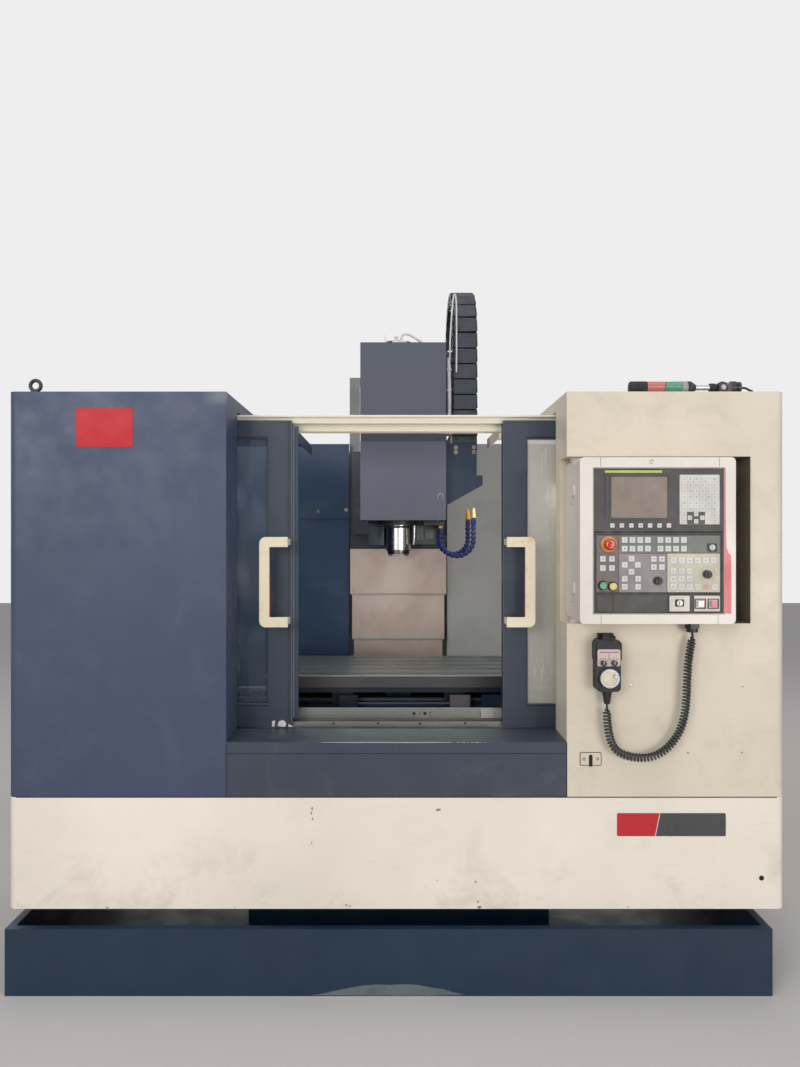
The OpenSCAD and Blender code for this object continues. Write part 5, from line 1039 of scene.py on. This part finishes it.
# Bare white flakes at the left door's lower corner
flakes = Piece("door_left_flakes", "door_left", "door_paint", primer)
for outline in ([(-430, 799), (-430, 818), (-419, 820), (-421, 799)],
    [(-411, 802), (-406, 818), (-391, 822), (-381, 812), (-384, 799), (-400, 799)],
    [(-374, 799), (-372, 808), (-356, 799)]):
  flakes.slab(outline, "Y", DOOR_Y, DOOR_Y - 0.5)


# Enclosure: plain plates, screws, hole and latch plate
FACE = -1040
hole_black = plastic("hole", (16, 17, 20), 0.8, 0.1, 0.05)
chip_steel = brushed("bare chips", (150, 146, 138), 0.5, (1, 1, 20), 0.4, metal=0.4)

(Piece("plain_red_plate", "machine", "stop_red", plate_red)
    .slab(rounded(-1031, 1744, -848, 1869, 4, 3), "Y", FACE, FACE - 1.2, 0.3))
(Piece("skirt_plate_dark", "machine", "steel_dark", plate_grey)
    .slab([(834, 492), (1056, 492), (1059, 495), (1059, 563), (1056, 566), (849, 566)], "Y", FACE,
        FACE - 1.2, 0.3))
(Piece("skirt_plate_red", "machine", "stop_red", plate_red)
    .slab([(712, 492), (831, 492), (846, 566), (712, 566), (709, 563), (709, 495)], "Y", FACE, FACE - 1.2,
        0.3))

fixings = Piece("enclosure_screws", "machine", "steel_dark", zinc)
for x, z in ((751, 976), (1113, 975), (938, 762), (1111, 762)):
  fixings.turned([(4.5, 0), (4.5, 0.5), (3.6, 0.7)], (x, FACE, z), "-Y", 16)
  fixings.screw((x, FACE - 0.5, z), 3, "-Y", 1.6)

(Piece("cover_hole", "machine", "unit_black", hole_black)
    .turned([(8.2, -0.2), (8.2, 0.35), (7.4, 0.5)], (1174, FACE, 357), "-Y", 28))

(Piece("latch_plate", "machine", "unit_black", hole_black)
    .slab(rounded(589.5, 719.5, 658.5, 762.5, 5, 4), "Y", FACE - 1.9, FACE - 2.6, 0.3))
(Piece("latch_plate_face", "machine", "cream_paint", cream)
    .slab(rounded(591.5, 721.5, 656.5, 760.5, 4, 4), "Y", FACE - 2.5, FACE - 3.2, 0.3))
(Piece("latch_slot", "machine", "unit_black", hole_black)
    .slab(rounded(618, 716, 630, 755, 5.9, 6), "Y", FACE - 3, FACE - 3.7, 0.15))
latch_screws = Piece("latch_screws", "machine", "steel_dark", zinc)
for x in (602, 646):
  latch_screws.screw((x, FACE - 3.2, 741), 5.5, "-Y", 2)

# Seam between skirt and covers, with the edges of the folded sheets
seams = (Piece("cover_seams", "machine", "unit_black", hole_black)
    .box((-1224, FACE - 0.4, 615.4), (1224, FACE + 0.6, 618.6)))
for side in (-1, 1):
  seams.box((side * 1250 - 0.4, -1014, 615.4), (side * 1250 + 0.4, 178, 618.6))
  seams.box((side * 548 - 1.2, FACE - 0.4, 619), (side * 548 + 1.2, FACE + 0.6, 792))
seams.box((-546, FACE - 0.3, 756.2), (546, FACE + 0.4, 758.2))

# Bright edge where paint is rubbed off the sill, broken into dots towards the right
SILL_Z = 794
worn = paint("worn edge", (168, 178, 182), 0.5, 0.5, (92, 100, 108))
rub = (Piece("sill_worn_edge", "machine", "steel_dark", worn)
    .slab([(-243, SILL_Z - 0.8), (-170, SILL_Z - 1.8), (40, SILL_Z - 2.4), (120, SILL_Z - 1.9),
        (177, SILL_Z - 1.1), (177, SILL_Z + 0.2), (-243, SILL_Z + 0.2)], "Y", FACE + 0.4, FACE - 0.3))
for x, wide in ((196, 5), (212, 9), (228, 3), (241, 6), (254, 10), (268, 3), (284, 4)):
  rub.slab([(x, SILL_Z - 2.2), (x + wide, SILL_Z - 1.7), (x + wide, SILL_Z + 0.2), (x, SILL_Z + 0.2)], "Y",
      FACE + 0.4, FACE - 0.3)

# Paint knocked off along edges, as small bare scars
random.seed(41)
scars = Piece("paint_chips", "machine", "steel_dark", chip_steel)
spots = [(136, 577, 9, 0.45), (131, 574, 4, 0.8), (255, 345, 4, 1), (262, 281, 4, 1), (266, 264, 9, 0.6),
    (-161, 270, 3.5, 1), (-150, 268, 3, 1), (-271, 580, 3.4, 2), (-274, 566, 2.6, 2.4), (-270, 548, 3, 1.6),
    (-273, 470, 2.2, 2), (130, 350, 2.4, 1), (745, 264, 3, 0.7), (-930, 262, 4, 0.7), (-520, 263, 3, 0.6)]
for x, z, r, tall in spots:
  ring = [(x + r * (0.6 + 0.5 * random.random()) * cos(a),
      z + r * tall * (0.6 + 0.5 * random.random()) * sin(a)) for a in around(11)]
  scars.slab(ring, "Y", FACE, FACE - 0.25)

# Sides: service panels with latches and louvres, as closed sheet work
for side, skin, slot_name in ((-1, slate, "slate_paint"), (1, cream, "cream_paint")):
  x = side * 1250
  name, way = ("left", "-X") if side < 0 else ("right", "X")
  panel = Piece("side_panel_" + name, "machine", slot_name, skin)
  hardware = Piece("side_latches_" + name, "machine", "steel_dark", zinc)
  for y0, y1 in ((-860, -400), (-300, 120)):
    panel.slab(rounded(y0, 700, y1, 1500, 14, 5), "X", x, x + side * 2.4, 0.6)
    for y in (y0 + 26, y1 - 26):
      for z in (726, 1100, 1474):
        hardware.turned([(9, 0), (9.5, 0.6), (9.5, 1.6), (7, 2.4), (3, 2.6)], (x + side * 2.4, y, z), way,
            24)
  x0, x1 = sorted((x + side * 2, x + side * 5))
  for z in range(1300, 1462, 18):
    hardware.box((x0, -230, z), (x1, 50, z + 7), 1)

# Tank: the patch on its front where the paint has gone pale
tank_low, _ = corners("coolant_tank")
pale = paint("tank worn patch", (98, 108, 110), 0.6, 0.7, (44, 66, 78))
(Piece("tank_worn_patch", "machine", "tank_navy", pale)
    .slab([(-270, 3), (-232, 8), (-196, 17), (-160, 24), (-113, 33), (-64, 37), (-20, 36), (34, 38),
        (72, 35), (112, 27), (150, 22), (178, 13), (214, 5), (120, 2), (-60, 2)], "Y", tank_low.y + 0.1,
        tank_low.y - 0.25))


# Handwheel: plate, selector scales, graduated dial, hook and cable glands
handset_plate = plastic("handset plate", (206, 184, 178), 0.35, 0.05, 0.12)
dial_face = plastic("dial centre", (214, 205, 178), 0.35, 0.05, 0.1)
wheel_low, _ = corners("handwheel_body")
WHEEL_X, WHEEL_Z, WHEEL_Y = 669, 1010, wheel_low.y

(Piece("handset_plate", "machine", "dial_silver", handset_plate)
    .slab(rounded(633, 1047, 705, 1100, 5, 4), "Y", WHEEL_Y, WHEEL_Y - 0.6, 0.15))
scales = Piece("handset_scales", "machine", "unit_black", ink)
for cx, start, count, gap_deg in ((651, -60, 5, 30), (685, -40, 3, 40)):
  for k in range(count):
    a = radians(start + k * gap_deg)
    mark = Matrix.Translation(Vector((cx + 15.5 * sin(a), WHEEL_Y - 0.6, 1057 + 15.5 * cos(a))) * MM)
    placed(scales, mark @ Matrix.Rotation(a, 4, "Y"), lambda p: p.box((-0.9, -0.3, -2.2), (0.9, 0, 2.2)))
scales.box((640, WHEEL_Y - 0.9, 1090), (700, WHEEL_Y - 0.6, 1092)).box((668, WHEEL_Y - 0.9, 1064),
    (669.2, WHEEL_Y - 0.6, 1088))
for body, cx in (("axis_knob", 651), ("scale_knob", 685)):
  (Piece(body + "_pointer", body, "button_white", ink_white)
      .box((cx - 1, -1106.6, 1054), (cx + 1, -1105.6, 1064.5), 0.2))

marks = Piece("dial_marks", "handwheel_dial", "unit_black", ink)
for k in range(100):
  a = radians(k * 3.6)
  long = 5.5 if k % 10 == 0 else 3.4 if k % 5 == 0 else 2.2
  mark = Matrix.Translation(Vector((WHEEL_X, -1108, WHEEL_Z)) * MM) @ Matrix.Rotation(a, 4, "Y")
  placed(marks, mark, lambda p: p.box((-0.25, -0.35, 29.4 - long), (0.25, 0, 29.4)))
(Piece("dial_centre", "handwheel_dial", "dial_silver", dial_face)
    .turned([(22.4, 0), (22.4, 2.3), (21.4, 3.2), (3.4, 3.9), (3.2, 3.2)], (WHEEL_X, -1105, WHEEL_Z), "-Y",
        56))
(Piece("dial_finger_grip", "handwheel_dial", "dial_silver", dial_silver)
    .turned([(6.1, 0), (6.6, 1), (6.6, 8.4), (5.4, 9.6), (3.9, 9.2), (3.2, 8.4)],
        (WHEEL_X + 17, -1107, WHEEL_Z + 8), "-Y", 32))
ring = (Piece("dial_ring", "machine", "handset_black", seal_black)
    .turned([(30.4, 0), (33.5, 0), (34, 0.6), (33.5, 1.6), (30.4, 1.6)], (WHEEL_X, WHEEL_Y, WHEEL_Z), "-Y",
        64))
for x, z in ((638, 1120), (700, 1120), (638, 975), (700, 975)):
  ring.screw((x, WHEEL_Y, z), 2.6, "-Y", 0.9)
(Piece("handset_hook", "machine", "handset_black", seal_black)
    .slab(rounded(648, 1126, 690, 1144, 6, 5), "Y", -1096, -1088, 1.2)
    .box((655, -1096, 1140), (683, -1060, 1145.5), 1))
relief = Piece("cord_strain_relief", "machine", "handset_black", seal_black)
for k in range(6):
  z = 928 + k * 6.2
  r = 9 + 6 * (z - 924) / 42
  relief.turned([(r - 1, 0), (r + 1.2, 0.8), (r + 1.2, 3), (r - 1, 3.8)], (WHEEL_X, -1070, z), "Z", 28)
relief.turned([(15, 0), (17, 0.5), (17, 7), (15, 7.6)], (WHEEL_X, -1070, 958), "Z", 6)
(Piece("pendant_gland", "pendant", "handset_black", seal_black)
    .turned([(9, 0), (10.5, 1), (13, 6), (13, 10), (15.5, 10.5), (16.5, 12), (16.5, 20), (15.5, 21)],
        (940, -1070, 1153), "Z", 28)
    .turned([(18, 0), (19, 0.8), (19, 8), (18, 9)], (940, -1070, 1175), "Z", 6))


# Signal tower, folded down on the roof, and its fork
tube_steel = brushed("tower tube", (190, 192, 190), 0.25, (40, 1, 1), 0.1, metal=0.9)
tower_grey = plastic("tower grey", (150, 152, 150), 0.4, 0.15)
tower_low, tower_high = corners("signal_tower")
TOWER_Y, TOWER_Z, PIVOT_X = -990, (tower_low.z + tower_high.z) / 2, 1065


def tower_piece(name, skin, slot_name, profile, start):
  (Piece(name, "signal_tower", slot_name, skin, stands_for=["signal_tower"])
      .turned(profile, (start, TOWER_Y, TOWER_Z), "X", 40))


def lens(length):
  """Profile of one lens with its ribs."""
  made = [(19, 0), (20.6, 0.8)]
  steps = int(length / 4)
  for k in range(steps):
    at = 1.5 + k * (length - 3) / steps
    made += [(20.2, at), (20.9, at + 1.6)]
  return made + [(20.6, length - 0.8), (19, length)]


tower_piece("tower_cap", seal_black, "tower_plastic", [(12, 0), (18, 1), (20, 4), (20.8, 8), (20.8, 22),
    (19.6, 22.6), (19.6, 24.6), (20.9, 25), (20.9, 55), (19, 56)], 762)
tower_piece("tower_red", lens_red, "stop_red", lens(58), 818)
tower_piece("tower_green", lens_green, "button_green", lens(53), 877)
tower_piece("tower_collar", tower_grey, "tower_plastic", [(19, 0), (20.6, 0.6), (20.6, 20), (19, 21)],
    930.5)
tower_piece("tower_ring", seal_black, "tower_plastic", [(18, 0), (20.9, 1), (20.9, 12), (17, 17), (11, 27),
    (9, 28)], 951.5)
tower_piece("tower_tube", tube_steel, "steel_dark", [(8.9, 0), (8.9, 64)], 979)
(Piece("tower_joint", "signal_tower", "tower_plastic", seal_black, stands_for=["signal_tower"])
    .turned([(9.2, 0), (14, 1), (14, 18), (10.5, 19.4), (10.5, 30)], (1025, TOWER_Y, TOWER_Z), "X", 36)
    .turned([(17.5, 0), (19, 1.5), (19, 20.5), (17.5, 22)], (PIVOT_X, TOWER_Y - 11, TOWER_Z), "Y", 40))
fork = (Piece("tower_fork_screws", "machine", "steel_dark", zinc)
    .turned([(9, 0), (9, 1), (6.5, 1.2), (6.5, 4), (5.5, 5)], (PIVOT_X, TOWER_Y - 17.3, TOWER_Z), "-Y", 6))
for x in (1085, 1128):
  for y in (-1003, -977):
    fork.turned([(5, 0), (5, 0.8), (3.6, 1), (3.6, 3.4), (2.8, 4)], (x, y, 1924), "Z", 16)
roof_cable = (Piece("tower_cable", "machine", "unit_black", seal_black)
    .tube(smooth_line([(1122, TOWER_Y, TOWER_Z - 2), (1142, TOWER_Y, TOWER_Z - 1),
        (1160, TOWER_Y + 4, TOWER_Z - 8), (1172, TOWER_Y + 14, 1934), (1176, TOWER_Y + 34, 1926.5),
        (1176, TOWER_Y + 60, 1925.5)], 4)[0], 3.6, 12))
roof_cable.turned([(8, 0), (9, 0.8), (9, 6), (7, 7)], (1176, TOWER_Y + 60, 1922), "Z", 24)

# Cabinet: quarter-turn latches, louvres and cable glands, and the bolts of the column's foot
_, cab_high = corners("cabinet_door")
BACK = 1168.3
door_trim = Piece("cabinet_door_trim", "cabinet_door", "steel_dark", zinc)
for z in (480, 1780):
  door_trim.turned([(11, 0), (11.5, 0.8), (11.5, 2.6), (9, 3.4), (3, 3.6)], (cab_high.x - 38, BACK, z), "Y",
      28)
  door_trim.box((cab_high.x - 39, BACK + 3, z - 7), (cab_high.x - 37, BACK + 3.6, z + 7))
louvres = Piece("cabinet_louvres", "cabinet_door", "cabinet_paint", cabinet_cream)
for column in (-230, 60):
  for k in range(12):
    z = 520 + k * 20
    louvres.slab([(BACK - 0.2, z), (BACK + 3.4, z + 1), (BACK + 3.4, z + 3), (BACK - 0.2, z + 13)], "X",
        column, column + 170)
cabinet_low, _ = corners("electrical_cabinet")
glands = Piece("cabinet_glands", "machine", "unit_black", seal_black)
for k in range(5):
  glands.turned([(14, 0), (14.6, 0.8), (14.6, 9), (12, 10), (12, 16), (9, 19)],
      (-200 + k * 90, 1000, cabinet_low.z), "-Z", 6 if k % 2 else 28)
bolts = Piece("casting_bolts", "machine", "steel_dark", dark_steel)
for side in (-1, 1):
  for y in (240, 420, 600, 740):
    x = 8 + side * (230 + 36)
    bolts.turned([(15, 0), (15, 3), (11, 3.4), (11, 13), (10, 14), (5.4, 14), (5.2, 7)], (x, y, 650), "Z",
        28)

finish_pieces()


# Floor, backdrop and studio light
def floor_finish(rgb):
  """Pale stage floor with faint clouds and a fine grain."""
  m = Material("floor")
  colour = m.mottle(m.noise(1.3, 5), 0.3, 0.7, rgb, 0.97, 1)
  m.set(Base_Color=colour, Roughness=0.75, Normal=m.bump(m.noise(40, 4), 0.1, 0.001))
  return m.data


floor_mesh = bpy.data.meshes.new("floor")
reach = 14
floor_mesh.from_pydata([(-reach, -reach, 0), (reach, -reach, 0), (reach, reach, 0), (-reach, reach, 0)], [],
    [(0, 1, 2, 3)])
floor = bpy.data.objects.new("floor", floor_mesh)
floor_mesh.materials.append(floor_finish((214, 208, 206)))
bpy.context.scene.collection.objects.link(floor)

world = bpy.data.worlds.new("studio")
bpy.context.scene.world = world
world.use_nodes = True
studio = Nodes(world.node_tree)
light = world.node_tree.nodes["Background"]
studio.put(light.inputs["Color"], (0.92, 0.95, 1, 1))
studio.put(light.inputs["Strength"], 0.3)
paper = studio.node("ShaderNodeBackground", {"Color": linear(238, 238, 238), "Strength": 1})
rays = studio.node("ShaderNodeLightPath").outputs
seen = studio.math("MAXIMUM", rays["Is Camera Ray"], rays["Is Transmission Ray"])
seen = studio.math("MAXIMUM", seen, rays["Is Glossy Ray"])
choose = studio.node("ShaderNodeMixShader", {0: seen, 1: light.outputs[0], 2: paper.outputs[0]})
studio.put(world.node_tree.nodes["World Output"].inputs["Surface"], choose.outputs[0])


def lamp(name, place, aim, size, watts, colour=(1, 1, 1)):
  """A soft rectangular studio lamp, placed and aimed in metres."""
  data = bpy.data.lights.new(name, "AREA")
  data.shape = "RECTANGLE"
  data.size, data.size_y = size
  data.energy = watts
  data.color = colour
  made = bpy.data.objects.new(name, data)
  made.location = place
  made.visible_camera = False
  made.rotation_euler = (Vector(aim) - Vector(place)).to_track_quat("-Z", "Y").to_euler()
  bpy.context.scene.collection.objects.link(made)
  return made


lamp("key", (-3.6, -7.4, 3.4), (0, -0.8, 0.9), (3.6, 3), 188)
lamp("fill", (3.8, -7.2, 1.3), (0, -0.8, 0.8), (3.4, 2.2), 138, (1, 0.98, 0.95))
lamp("top", (0, -2.6, 5.6), (0, -1.5, 0), (5, 3), 80)
for side in (-1, 1):
  work = lamp("work", (side * 0.64, -0.7, 1.7), (-side * 0.2, 0.1, 1), (0.3, 0.3), 3.4)
  work.visible_glossy = False
lamp("back", (0.5, 4.2, 4), (0, 0.4, 1.2), (3, 2), 60)
